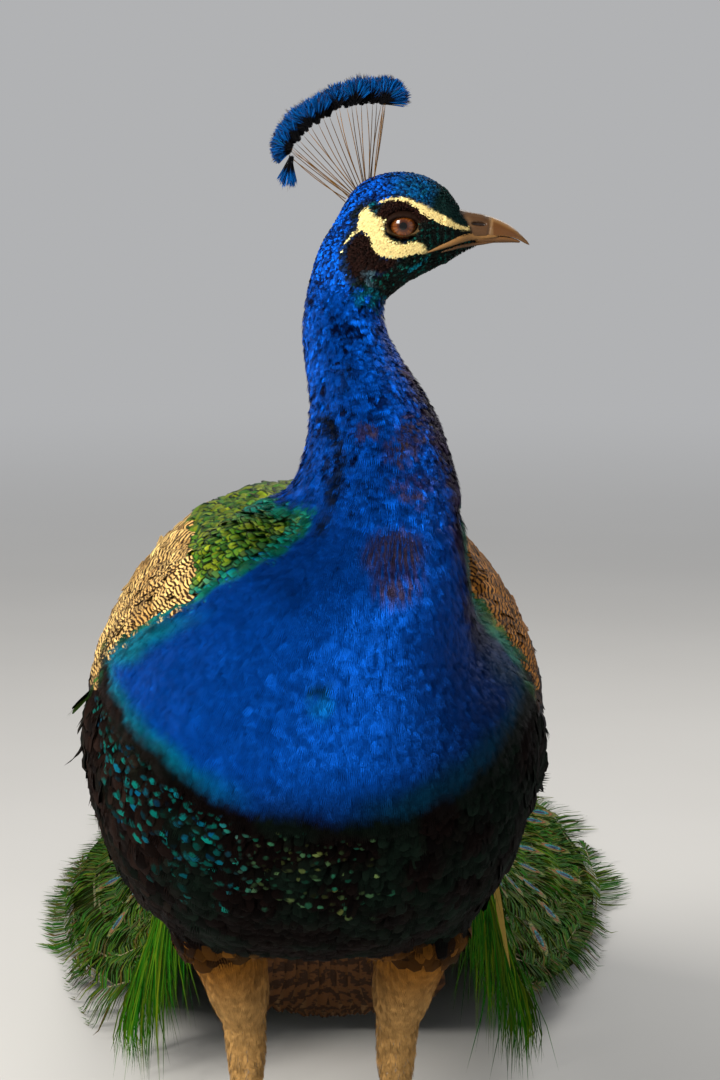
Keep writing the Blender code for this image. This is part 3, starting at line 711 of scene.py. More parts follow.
class Markings:
    """The colours of the skin and the coat, by place on the body."""

    cream = np.array((0.8, 0.64, 0.27))
    soot = np.array((0.003, 0.005, 0.004))
    earth = np.array((0.009, 0.003, 0.002))
    cobalt = np.array((0.0003, 0.058, 0.35))
    navy = np.array((0.0004, 0.01, 0.08))
    teal = np.array((0.0005, 0.13, 0.19))
    violet = np.array((0.034, 0.016, 0.056))
    plum = np.array((0.018, 0.008, 0.012))
    leaf = np.array((0.014, 0.085, 0.005))
    gold = np.array((0.17, 0.23, 0.006))
    umber = np.array((0.0026, 0.0012, 0.001))
    bar_light = np.array((0.68, 0.45, 0.16))
    bar_dark = np.array((0.034, 0.012, 0.002))
    buff = np.array((0.26, 0.1, 0.01))
    pale_buff = np.array((0.4, 0.225, 0.075))

    cheek = Outline(
        (-20.7, 10.8), (-17.9, 8.3), (-16.5, 6.0), (-12.9, 4.6), (-10.6, 3.2), (-11.8, -0.9), (-10.6, -5.0),
        (-7.3, -8.3), (-2.8, -10.1), (1.8, -10.6), (6.4, -9.4), (9.2, -9.0), (11.5, -10.1), (15.4, -14.7),
        (13.8, -16.3), (9.2, -15.3), (5.5, -16.5), (0.0, -17.6), (-4.6, -18.2), (-9.2, -17.4), (-12.9, -16.7),
        (-16.1, -14.7), (-17.3, -10.1), (-18.8, -6.0), (-22.0, -2.8), (-25.2, -0.9), (-25.5, 3.7), (-24.8, 7.2),
        (-22.8, 9.6),
    )
    ear = Outline(
        (-25.2, -3.7), (-20.2, -5.0), (-17.9, -7.8), (-17.3, -13.8), (-12.9, -17.6), (-5.5, -18.4), (-5.5, -23.4),
        (-12.9, -27.5), (-19.3, -27.5), (-25.7, -31.7), (-29.8, -30.3), (-32.1, -23.9), (-32.6, -15.6),
        (-30.8, -9.2), (-28.5, -5.5),
    )
    lore = Outline(
        (-20.5, 11.5), (-12.5, 13.4), (-2.8, 14.4), (6.4, 12.2), (11.0, 10.0), (16.5, 5.5), (24.0, 2.2),
        (31.0, -0.6), (42.0, -3.0), (36.0, -6.0), (24.0, -9.0), (15.5, -13.8), (11.5, -10.1), (6.4, -9.2),
        (1.8, -10.6), (-7.3, -8.3), (-10.6, 3.2), (-16.5, 6.0),
    )
    throat = Outline(
        (14.0, -15.0), (24.0, -9.5), (37.0, -7.0), (48.0, -12.0), (30.0, -22.0), (10.0, -34.0), (-8.0, -44.0),
        (-20.0, -40.0), (-28.0, -33.0), (-12.0, -28.0), (-4.0, -22.0), (4.0, -17.0),
    )
    brow = Outline(
        (-12.4, 14.2), (-7.0, 15.8), (-2.75, 16.1), (2.5, 15.3), (6.4, 13.6), (11.0, 11.0), (16.5, 7.3),
        (23.9, 3.6), (31.2, -0.2), (36.5, -2.0), (42.2, -2.8), (47.5, -2.1), (52.3, -0.9),
    )
    brow_width = np.array((0.4, 0.7, 0.8, 0.8, 1.0, 1.7, 2.2, 2.1, 1.2, 0.7, 0.6, 0.6, 0.6)) / 1000
    # Painted shadow: the dark creases between the neck's feathers, as lines through these x and z points.
    painted_fold_shadows = ((0.018, 0.592), (0.006, 0.568), (0.015, 0.546), (0.012, 0.53), (0.0045, 0.508), (-0.001, 0.4995))
    # Painted sheen: brown and violet streaked marks on the neck, each by its middle x and z and its size across and
    # up.
    painted_sheen_patches = (
        (0.048, 0.478, 0.015, 0.012), (0.044, 0.492, 0.016, 0.013), (0.054, 0.53, 0.012, 0.007),
        (0.045, 0.548, 0.008, 0.006), (0.028, 0.56, 0.008, 0.004), (0.054, 0.556, 0.008, 0.012),
    )
    lip = Outline((48.0, -7.0), (40.0, -6.8), (34.5, -7.8), (29.0, -9.8), (22.5, -12.4), (18.5, -14.0), (14.4, -15.6))
    arc = Outline((-24.5, -1.4), (-25.5, -2.6), (-28.9, -5.0), (-31.7, -8.3), (-34.0, -11.9), (-35.2, -14.9))

    def bill_edge(self, forward: Array, up: Array) -> Array:
        """How far each place is ahead of the line where the feathers end and the bill begins."""
        return forward - np.interp(
            up, (-0.016, -0.0124, -0.006, -0.0024, 0.0086), (0.045, 0.049, 0.041, 0.0404, 0.0334)
        )

    def head(self, points: Array) -> Array:
        """The head's colours: a blue crown, a cream brow and cheek, and a dark mask, ear and throat."""
        forward, _, up = (points - EYE).T
        fleck = ripple(points, 0.0028, 3)
        patch = ripple(points, 0.009, 4)
        fine_fleck = ripple(points, 0.0012, 5)
        colour = blend(self.cobalt * 1.3, self.navy * 0.35, soft(fleck * 0.7 + fine_fleck, 0.15, 0.9) * 0.94)
        colour = blend(colour, (0.001, 0.07, 0.12), soft(forward + patch * 0.003, -0.004, 0.018) * 0.7)
        colour = blend(colour, self.navy * 0.8, soft(fine_fleck, 0.5, 0.8) * soft(forward, -0.015, 0.02) * 0.8)
        colour = blend(colour, (0.004, 0.022, 0.02), soft(forward - up * 0.4, 0.01, 0.012))
        fine = fleck * 0.0005
        edge = np.maximum(self.ear.depth(forward, up), self.cheek.depth(forward, up)) + fine * 2
        band = soft(edge, -0.0042, 0.003) * soft(-forward, -0.004, 0.01) * soft(-up, -0.014, 0.006)
        colour = blend(colour, self.soot * 1.6, band * 0.9)
        dark = blend(self.soot, (0.001, 0.075, 0.06), soft(fine_fleck, 0.7, 0.6) * 0.7)
        colour = blend(colour, dark, soft(self.lore.depth(forward, up) + fine, 0, 0.001))
        spot = np.hypot(forward + 0.0165, up - 0.009)
        colour = blend(colour, self.teal * 0.75, soft(-spot, -0.0042, 0.003) * soft(fleck, -0.4, 0.6))
        colour = blend(colour, dark, soft(self.throat.depth(forward, up) + fine, -0.001, 0.003))
        below = np.hypot((forward + 0.0215) * 0.8, up + 0.043)
        colour = blend(colour, self.teal * 0.6, soft(-below, -0.0075, 0.004) * soft(fleck, -0.5, 0.8))
        streak = np.abs(up + 0.0225 - (forward - 0.0085) * 0.62)
        along = soft(-np.abs(forward - 0.0085), -0.0055, 0.002)
        colour = blend(colour, self.teal * 0.9, soft(-streak, -0.0011, 0.001) * along * soft(fleck, -0.2, 0.6))
        colour = blend(colour, self.earth, soft(self.ear.depth(forward, up) + fine * 2, 0, 0.0014))
        grey = np.hypot(forward + 0.019, (up + 0.0295) * 1.2) + fine * 3
        colour = blend(colour, (0.055, 0.115, 0.15), soft(-grey, -0.0058, 0.003) * soft(fleck, 0.0, 0.6) * 0.8)
        mask = soft(self.cheek.depth(forward, up) + fine, 0, 0.0007)
        colour = blend(colour, self.cream * (1 - 0.1 * np.clip(fleck, 0, 1))[:, None], mask)
        brown = np.hypot((forward + 0.001) * 0.85, up - 0.0035)
        colour = blend(colour, self.earth * 1.6, soft(-brown, -0.0135, 0.003) * soft(up, 0.002, 0.004) * (1 - mask))
        colour = blend(colour, self.cream * 0.95, self.brow_share(forward, up))
        thin = soft(-self.arc.gap(forward, up, closed=False) + fine, -0.00055, 0.0004)
        return blend(colour, self.cream * 0.85, thin * soft(fleck, -0.6, 0.5))

    def brow_share(self, forward: Array, up: Array) -> Array:
        """How much of each place is in the cream line over the eye."""
        place = np.stack((forward, up), axis=1)
        gap = np.linalg.norm(place[:, None] - self.brow.points[None], axis=2)
        weight = np.exp(-gap / 0.0016)
        width = (weight @ self.brow_width) / np.maximum(weight.sum(axis=1), 1e-12)
        return soft(width - self.brow.gap(forward, up, closed=False), 0, 0.0007)

    def bib_edge(self, points: Array) -> Array:
        """How far each place is inside the blue of the neck and breast."""
        x, y, z = points.T
        low = np.interp(
            x,
            (-0.13, -0.1265, -0.1255, -0.1237, -0.1198, -0.1083, -0.0901, -0.0669, -0.0381, 0.0135, 0.0481, 0.0831,
             0.107, 0.1183, 0.1253, 0.129),
            (
                0.5, 0.442, 0.43, 0.418, 0.406, 0.389, 0.376, 0.357, 0.345, 0.338, 0.338, 0.352, 0.372, 0.389, 0.405,
                0.45
            ),
        )
        top = np.interp(
            x,
            (-0.1255, -0.1223, -0.1093, -0.0908, -0.0787, -0.0639, -0.0524, -0.0379, -0.0238, -0.0153, -0.0078, 0.0,
             0.01, 0.03, 0.06, 0.075, 0.085, 0.0891, 0.0966, 0.1056, 0.1148, 0.121, 0.1253),
            (0.418, 0.427, 0.438, 0.452, 0.461, 0.468, 0.4755, 0.483, 0.4905, 0.496, 0.501, 0.512, 0.54, 0.6, 0.6,
             0.56, 0.5, 0.46, 0.439, 0.428, 0.42, 0.412, 0.396),
        )
        steps = (0.44, 0.46, 0.49, 0.507, 0.53)
        middle_x = np.interp(z, steps, (0.012, 0.018, 0.0325, 0.0345, 0.0375))
        middle_y = np.interp(z, steps, (-0.105, -0.106, -0.107, -0.104, -0.0975))
        neck = np.interp(z, steps, (0.078, 0.067, 0.052, 0.047, 0.047)) - np.hypot(x - middle_x, y - middle_y)
        above = np.maximum(neck, z - 0.515)
        front = np.minimum(top - z, -0.05 - y)
        return np.minimum(np.maximum(front, above), z - low) + ripple(points, 0.011, 8) * 0.0015

    def body(self, points: Array, normals: Array) -> Array:
        """The colours of the neck and the trunk.

        Args:
            points: Places on the body.
            normals: The normals there.

        Returns:
            The colours.
        """
        x, y, z = points.T
        fleck, patch, hair = (ripple(points, size, 20 + n) for n, size in enumerate((0.004, 0.014, 0.0016)))
        on_neck = soft(z, 0.515, 0.05)
        blue = blend(self.cobalt, self.navy, soft(hair + fleck * 0.6, 0.9, 1.8) * (0.14 + 0.7 * on_neck))
        blue = blend(blue, self.cobalt * 1.5, soft(-hair + patch * 0.4, 0.7, 1.6) * (0.14 + 0.7 * on_neck))
        rough = on_neck * (0.35 + 0.65 * soft(-x, -0.034, 0.02))
        blue = blend(blue, self.navy * 0.3, soft(fleck + patch * 0.7 + hair * 0.5, 0.85, 0.9) * rough)
        # Painted shadow, soot-dark and ragged, along each crease between the neck's feathers.
        for n, (start, end) in enumerate(zip(self.painted_fold_shadows, self.painted_fold_shadows[1:])):
            way = np.array(end) - start
            place = np.stack((x, z), axis=1) - start
            t = np.clip(place @ way / (way @ way), 0, 1)
            gap = np.linalg.norm(place - t[:, None] * way, axis=1) + (fleck + hair) * 0.0013
            ragged = soft(-gap, -0.0026, 0.0045) * soft(patch + hair * 0.6, -0.75, 0.9)
            blue = blend(blue, self.soot, ragged * soft(-y, 0.06, 0.03) * 0.92)
        # Painted sheen: dark plum and violet along the neck's edge on the bird's left, beyond this line.
        line = np.interp(
            z, (0.43, 0.46, 0.5, 0.53, 0.56, 0.59, 0.61, 0.64),
            (0.092, 0.087, 0.0815, 0.075, 0.0655, 0.0525, 0.045, 0.039)
        )
        right = soft(
            x - line + (patch + fleck) * 0.002, -0.0015, 0.005
        ) * soft(z, 0.425, 0.02) * soft(-z, -0.625, 0.02)
        tint = blend(self.plum, self.violet, soft(patch + hair * 0.5, 0.4, 0.8) * 0.7)
        blue = blend(blue, tint, right * 0.95)
        # Painted sheen: brown and violet streaks that fan out over the neck's front.
        fan = np.arctan2(x - 0.047, 0.523 - z)
        streak = np.sin(fan * 62 + ripple(points, 0.005, 27) * 1.6)
        for cx, cz, wide, tall in self.painted_sheen_patches:
            near = np.hypot((x - cx) / wide, (z - cz) / tall) + patch * 0.12
            share = soft(-near, -1.05, 0.6) * soft(streak, -0.5, 0.9) * soft(-y, 0.06, 0.03)
            tint = blend((0.046, 0.028, 0.03), (0.02, 0.02, 0.085), soft(patch, 0.1, 0.8))
            blue = blend(blue, tint, share * 0.9)
        whorl = np.hypot(x - 0.002, (z - 0.417) * 2.6) + fleck * 0.001
        blue = blend(blue, (0.0006, 0.016, 0.024), soft(-whorl, -0.008, 0.006) * 0.9)
        glint = np.hypot(x - 0.003, (z - 0.407) * 1.3) + fleck * 0.0015
        blue = blend(blue, (0.0006, 0.12, 0.34), soft(-glint, -0.007, 0.007) * 0.6)
        # Painted shade: the blue turns dark navy on the bird's left, away from the key light, and low on the breast
        # near the blue's lower edge.
        painted_right_shade = soft(x - (z - 0.4) * 0.4, 0.07, 0.07) * soft(-z, -0.5, 0.06)
        foot = soft(-self.bib_edge(points), -0.013, 0.022) * soft(-z, -0.4, 0.04) * soft(x, -0.045, 0.05)
        blue = blend(blue, (0.0008, 0.012, 0.062), np.clip(painted_right_shade + foot, 0, 1) * 0.8)
        inside = self.bib_edge(points)
        rim = soft(-inside, -0.012, 0.012) * soft(-x, 0.06, 0.06) * soft(-z, -0.455, 0.02)
        blue = blend(blue, self.teal, rim * 0.95)
        # Painted shade: the lower edge of the blue is darker on the bird's left.
        painted_low_right_shade = soft(-inside, -0.016, 0.018) * soft(x, 0.03, 0.05) * soft(-z, -0.42, 0.04)
        blue = blend(blue, (0.0006, 0.026, 0.042), painted_low_right_shade * 0.8)
        top = soft(normals[:, 2] + (z - 0.4) * 6 + y * 0.6, 0.55, 0.5)
        rest = blend(self.under(points), self.back(points), top)
        return blend(rest, blue, soft(inside, 0.0, 0.003))

    def back(self, points: Array) -> Array:
        """The scaly gold and green of the mantle, the back and the rump."""
        scale, patch = ripple(points, 0.0032, 31), ripple(points, 0.016, 32)
        colour = blend(self.leaf, self.gold, soft(scale + patch * 0.6, 0.9, 1.2) * 0.9)
        colour = blend(colour, self.leaf * 0.15, soft(-scale + patch * 0.4, 0.3, 1.2) * 0.9)
        colour = blend(colour, (0.004, 0.11, 0.04), soft(-patch - scale * 0.3, 0.7, 0.9) * 0.6)
        near = soft(self.bib_edge(points), -0.0045, 0.006)
        return blend(colour, (0.0005, 0.17, 0.12), near * 0.9)

    def under(self, points: Array) -> Array:
        """The sooty brown of the belly, the flanks and the vent."""
        x, y, z = points.T
        fleck, patch = ripple(points, 0.006, 41), ripple(points, 0.025, 42)
        colour = blend(self.umber, (0.002, 0.008, 0.005), soft(patch, 0.2, 1.0) * 0.6)
        flank = soft(-x, 0.095, 0.04) * soft(fleck, -0.2, 1.2)
        colour = blend(colour, (0.014, 0.007, 0.005), flank * 0.7)
        vent = soft(y, 0.13, 0.08) * soft(-z, -0.33, 0.08)
        return blend(colour, (0.03, 0.017, 0.009), vent * 0.8)

    def skin(self, points: Array, normals: Array) -> Array:
        """The whole skin's colours: the head's ahead of the nape, the body's behind it, and the thighs'."""
        forward, _, up = (points - EYE).T
        head = soft(up + forward * 0.62 + ripple(points, 0.006, 50) * 0.0012, -0.06, 0.008)
        colour = blend(self.body(points, normals), self.head(points), head)
        return blend(colour, self.thigh(points), thigh_share(points))

    def thigh(self, points: Array) -> Array:
        """The buff of the thighs, paler below."""
        fleck = ripple(points, 0.006, 61)
        colour = blend(self.buff, self.pale_buff, soft(-points[:, 2], -0.196, 0.05))
        return colour * (1 - 0.18 * np.clip(fleck, -1, 1))[:, None]

    def wing(self, points: Array) -> tuple[Array, Array, Array]:
        """The folded wing's light colour, its bars' colour and how plainly they show."""
        x, y, z = points.T
        fleck = ripple(points, 0.012, 71)
        light = blend(self.bar_light, (0.33, 0.13, 0.013), soft(fleck, 0.3, 1.5) * 0.5)
        # Painted shade: on the bird's left, away from the key light, the pale colour between the bars is darker and
        # more orange.
        light = blend(light, (0.4, 0.13, 0.006), soft(x, 0.02, 0.08) * 0.85)
        low = soft(-z + y * 0.2, -0.405, 0.02)
        dusk = blend(light, (0.007, 0.005, 0.008), low)
        dark = blend(self.bar_dark, (0.003, 0.003, 0.006), low)
        return dusk, dark, 1 - low * 0.7


def thigh_share(points: Array) -> Array:
    """How much of each place belongs to a thigh, below the belly."""
    x, y, z = points.T
    middle = np.interp(z, (0.172, 0.2, 0.232, 0.262), (0.028, 0.016, 0.0, -0.012))
    reach = np.interp(z, (0.172, 0.2, 0.222, 0.236, 0.262), (0.02, 0.029, 0.034, 0.033, 0.03))
    near = soft(reach + 0.006 - np.hypot(np.abs(x) - 0.057, (y - middle) * 0.8), 0, 0.006)
    return near * soft(-z, -0.236, 0.008)


MARKINGS = Markings()

TRIES = 7  # places tried for each one kept
CELL = 1.06  # side of the cell that holds one place, in spacings


# --- the skin ---
class Surface:
    """A mesh that feathers are laid on."""

    def __init__(self, piece: Piece) -> None:
        """Reads the mesh's triangles and normals."""
        piece.data.calc_loop_triangles()
        self.points = points_of(piece)
        self.normals = normals_of(piece)
        self.triangles = np.empty(len(piece.data.loop_triangles) * 3, np.int32)
        piece.data.loop_triangles.foreach_get("vertices", self.triangles)
        self.triangles = self.triangles.reshape(-1, 3)
        self.tree = BVHTree.FromPolygons(self.points.tolist(), self.triangles.tolist(), all_triangles=True)

    def nearest(self, places: Array) -> tuple[Array, Array]:
        """The nearest points of the surface, and its smooth normals there."""
        find = self.tree.find_nearest
        found = [find(place) for place in places.tolist()]
        spots = np.array([f[0] for f in found])
        corners = self.triangles[np.array([f[2] for f in found])]
        a, b, c = (self.points[corners[:, k]] for k in range(3))
        whole = np.maximum(np.linalg.norm(np.cross(b - a, c - a), axis=1), 1e-16)
        share_a = np.linalg.norm(np.cross(b - spots, c - spots), axis=1) / whole
        share_b = np.linalg.norm(np.cross(c - spots, a - spots), axis=1) / whole
        share_c = np.clip(1 - share_a - share_b, 0, 1)
        shares = np.stack((share_a, share_b, share_c), axis=1)[:, :, None]
        return spots, unit((self.normals[corners] * shares).sum(axis=1))

    def scatter(self, spacing: float, random: Chance, keep: ByPlace) -> tuple[Array, Array]:
        """Places spread evenly over part of the surface.

        Args:
            spacing: How far apart.
            random: The source of chance.
            keep: Says which places and normals belong to the part.

        Returns:
            The places and the normals there.
        """
        middles = self.points[self.triangles].mean(axis=1)
        chosen = np.flatnonzero(keep(middles, unit(self.normals[self.triangles].mean(axis=1))))
        corners = self.points[self.triangles[chosen]]
        areas = np.linalg.norm(np.cross(corners[:, 1] - corners[:, 0], corners[:, 2] - corners[:, 0]), axis=1) / 2
        count = int(areas.sum() / spacing**2 * TRIES)
        pick = random.choice(len(chosen), size=count, p=areas / areas.sum())
        first, second = random.random(count), random.random(count)
        over = first + second > 1
        first[over], second[over] = 1 - first[over], 1 - second[over]
        shares = np.stack((1 - first - second, first, second), axis=1)[:, :, None]
        places = (corners[pick] * shares).sum(axis=1)
        normals = unit((self.normals[self.triangles[chosen[pick]]] * shares).sum(axis=1))
        cells = np.floor(places / (spacing * CELL) + random.random(3)).astype(np.int64)
        _, first_seen = np.unique(cells, axis=0, return_index=True)
        order = np.sort(first_seen)
        places, normals = places[order], normals[order]
        kept = keep(places, normals)
        return places[kept], normals[kept]


def joined(first: Surface, second: Surface) -> Surface:
    """One surface from two."""
    both = copy.copy(first)
    both.triangles = np.concatenate((first.triangles, second.triangles + len(first.points)))
    both.points = np.concatenate((first.points, second.points))
    both.normals = np.concatenate((first.normals, second.normals))
    both.tree = BVHTree.FromPolygons(both.points.tolist(), both.triangles.tolist(), all_triangles=True)
    return both


def growing_surface(*nodes: str, voxel: float, depth: Callable[[Array], Array]) -> Surface:
    """One smooth surface over several solids, for feathers to grow on.

    Args:
        nodes: The solids.
        voxel: How finely they are joined.
        depth: How deep inside them the surface lies, by place.

    Returns:
        The surface. No piece is left of it.
    """
    piece = rounded_copy(*nodes, name="growing_surface", voxel=voxel, rounds=12, stands=False)
    points = points_of(piece)
    move_points(piece, points - normals_of(piece) * depth(points)[:, None])
    surface = Surface(piece)
    bpy.data.objects.remove(piece)
    return surface


@dataclass
class Skin:
    """One skin for the head, the neck, the trunk, the wings and the thighs, inside them by the coat's depth."""

    nodes: tuple[str, ...] = (
        "head", "neck_upper", "neck_lower", "breast", "trunk", "rump", "thigh_left", "thigh_right",
        "wing_left", "wing_right",
    )
    voxel: float = 0.003
    head_depth: float = 0.0011
    neck_depth: float = 0.0034
    body_depth: float = 0.0052
    thigh_depth: float = 0.0026
    socket_radius: float = 0.0094
    socket_floor: float = 0.0095  # of the eye's socket from the head's middle plane
    head_foot: float = 0.628  # height above which the skin is drawn back to the solids
    fine_from: tuple[float, float] = (-0.02, 0.634)  # the place ahead and the height where the skin is finer

    def coat_depth(self, points: Array) -> Array:
        """How deep the coat is at each place."""
        z = points[:, 2]
        depth = np.interp(
            z, (0.4, 0.5, 0.6, 0.64, 0.655),
            (self.body_depth, self.neck_depth, self.neck_depth * 0.8, 0.0016, self.head_depth)
        )
        forward = points[:, 0] - EYE[0]
        depth = np.where((forward > 0.024) & (z > 0.645), 0.0005, depth) + 0.0028 * wing_share(points)
        return depth + (self.thigh_depth - depth) * thigh_share(points)

    def build(self) -> Piece:
        """Makes the skin, carves the eyes' sockets and dresses it.

        Returns:
            The skin.
        """
        piece = copy_of(*self.nodes, name="skin")
        solid = Surface(piece)
        apply(piece, "REMESH", mode="VOXEL", voxel_size=self.voxel)
        self.drop_islands(piece)
        apply(piece, "SMOOTH", factor=0.5, iterations=6)
        self.refine_head(piece)
        points = points_of(piece)
        on_head = points[:, 2] > self.head_foot
        snapped, _ = solid.nearest(points[on_head])
        points[on_head] += (snapped - points[on_head]) * 0.85
        move_points(piece, points)
        apply(piece, "SMOOTH", factor=0.5, iterations=2)
        points, normals = points_of(piece), normals_of(piece)
        points -= normals * self.coat_depth(points)[:, None]
        points = self.shape_face(points)
        move_points(piece, points)
        piece.data.shade_smooth()
        points, normals = points_of(piece), normals_of(piece)
        tone = MARKINGS.skin(points, normals)
        on_wing = wing_share(points)
        light, dark, _ = MARKINGS.wing(points)
        tone = blend(tone, (light + dark) / 2, on_wing)
        # The skin's colour is dimmed to 0.6 as painted shade in the gaps under the coat.
        mark(piece, tone * 0.6, points * (30, 30, 0), SPINE_LINE.read(points)[1])
        return dress(piece, DOWN, "blue_plumage")

    def drop_islands(self, piece: Piece) -> None:
        """Deletes what the remesh closed off inside the skin."""
        shape = bmesh.new()
        shape.from_mesh(piece.data)
        left, islands = set(shape.verts), []
        while left:
            island, edge = set(), [left.pop()]
            while edge:
                vert = edge.pop()
                island.add(vert)
                for link in vert.link_edges:
                    other = link.other_vert(vert)
                    if other in left:
                        left.discard(other)
                        edge.append(other)
            islands.append(island)
        islands.sort(key=len)
        for island in islands[:-1]:
            bmesh.ops.delete(shape, geom=list(island), context="VERTS")
        shape.to_mesh(piece.data)
        shape.free()

    def refine_head(self, piece: Piece) -> None:
        """Subdivides the faces of the head."""
        alone(piece)
        middles = np.empty(len(piece.data.polygons) * 3, np.float32)
        piece.data.polygons.foreach_get("center", middles)
        place = middles.reshape(-1, 3) - SHIFT
        piece.data.polygons.foreach_set(
            "select", (place[:, 2] > self.fine_from[1]) & (place[:, 0] > self.fine_from[0])
        )
        bpy.ops.object.mode_set(mode="EDIT")
        bpy.ops.mesh.select_mode(type="FACE")
        bpy.ops.mesh.subdivide(number_cuts=1, smoothness=0.4)
        bpy.ops.object.mode_set(mode="OBJECT")

    def shape_face(self, points: Array) -> Array:
        """Carves the eyes' sockets, and draws the skin in at the bill's base, on a copy of the points."""
        points = points.copy()
        forward, side, up = (points - EYE).T
        near = np.hypot(forward, up)
        share = soft(self.socket_radius - near, 0.0, 0.0022)
        floor = np.sign(side) * self.socket_floor
        points[:, 1] += np.where(np.abs(side) > self.socket_floor, (floor - side) * share, 0)
        ahead = soft(MARKINGS.bill_edge(forward, up), -0.0002, 0.0012) * soft(forward, 0.028, 0.002) * (up > -0.035)
        points -= np.stack((ahead * 0.0012, side * ahead * 0.22, ahead * 0.0014 * soft(up, -0.004, 0.006)), axis=1)
        return points


def wing_share(points: Array) -> Array:
    """How much of each place belongs to a folded wing."""
    x, y, z = points.T
    steps = (-0.15, -0.062, -0.03, 0.03, 0.09, 0.155, 0.22)
    inner = np.interp(y, steps, (0.062, 0.064, 0.067, 0.07, 0.068, 0.072, 0.084))
    lower = np.interp(y, steps, (0.44, 0.398, 0.37, 0.322, 0.299, 0.289, 0.284))
    edge = ripple(points, 0.014, 81) * 0.002
    ahead = soft(-MARKINGS.bib_edge(points), -0.001, 0.003)
    return soft(np.abs(x + 0.003) - inner + edge, 0.002, 0.005) * soft(z - lower + edge, 0.0, 0.006) * ahead


# --- feathers ---
@dataclass(frozen=True)
class Vane:
    """The shape of one feather: points at a level along it, a share of its half width across it and a rise."""

    levels: tuple[float, ...]
    level: tuple[int, ...]
    beside: tuple[float, ...]
    rise: tuple[float, ...]
    quads: tuple[tuple[int, int, int, int], ...] = ()
    triangles: tuple[tuple[int, int, int], ...] = ()

    @classmethod
    def fan(cls, count: int, thin: float, crown: float = 0.25) -> "Vane":
        """Separate barbs that fan out from the root, each a strip with a pointed end.

        Args:
            count: How many barbs.
            thin: Half the width of a barb, in half widths.
            crown: How much higher the middle is than the sides, in half widths.

        Returns:
            The feather's shape.
        """
        level, beside, rise, quads, triangles = [], [], [], [], []
        for k in range(count):
            t = 2 * k / (count - 1) - 1
            first = len(level)
            for n, reach in ((0, 0.25), (1, 0.72)):
                for edge in (-1, 1):
                    level.append(n)
                    beside.append(t * reach + edge * thin * (1.0 if n else 0.8))
                    rise.append(crown * (1 - t * t) * (0.5 if n == 0 else 1.0))
            level.append(2)
            beside.append(t)
            rise.append(crown * (1 - t * t) * 0.6)
            quads.append((first, first + 1, first + 3, first + 2))
            triangles.append((first + 2, first + 3, first + 4))
        return cls((0.0, 0.55, 1.0), tuple(level), tuple(beside), tuple(rise), tuple(quads), tuple(triangles))

    @classmethod
    def scale(
        cls, widths: tuple[float, ...], levels: tuple[float, ...], fringe: int = 0, crown: float = 0.22
    ) -> "Vane":
        """A rounded vane of two halves that meet along its shaft, with a fringe at its end.

        Args:
            widths: Its half width at each level, in half widths.
            levels: The levels, from 0 at the root to 1 at the tip.
            fringe: How many pointed barbs stand out of its end.
            crown: How much higher the shaft is than the edges, in half widths.

        Returns:
            The feather's shape.
        """
        level, beside, rise, quads, triangles = [], [], [], [], []
        for n, width in enumerate(widths):
            for edge in (-1, 0, 1):
                level.append(n)
                beside.append(edge * width)
                rise.append(crown * width * (1 - abs(edge)))
            if n:
                low, high = 3 * (n - 1), 3 * n
                quads += [(low, low + 1, high + 1, high), (low + 1, low + 2, high + 2, high + 1)]
        last = 3 * (len(widths) - 1)
        if fringe:
            for k in range(fringe):
                first, end = (2 * k / fringe - 1, 2 * (k + 1) / fringe - 1)
                start = len(level)
                for value, n in (
                    (first, len(widths) - 1), (end, len(widths) - 1), ((first + end) / 2 * 1.1, len(widths))
                ):
                    level.append(n)
                    beside.append(value * widths[-1])
                    rise.append(crown * widths[-1] * (1 - abs(value)))
                triangles.append((start, start + 1, start + 2))
            levels = (*levels, 1.0 + 0.22)
        else:
            tip = len(level)
            level.append(len(widths))
            beside.append(0.0)
            rise.append(0.0)
            triangles += [(last, last + 1, tip), (last + 1, last + 2, tip)]
            levels = (*levels, 1.0)
        return cls(tuple(levels), tuple(level), tuple(beside), tuple(rise), tuple(quads), tuple(triangles))


@dataclass
class Growth:
    """Where feathers grow, and each one's sizes and colours."""

    roots: Array
    normals: Array
    lies: Array
    lengths: Array
    widths: Array
    heights: Array  # of the tip above the surface
    tones: Array
    spots: Array | None = None
    roll: Array | None = None
    places: Array | None = None  # on the unwrap
    paint: ByPlace | None = None  # the colours at each of their points, if they vary along them
    lights: Array | None = None  # how bright each one is, with paint


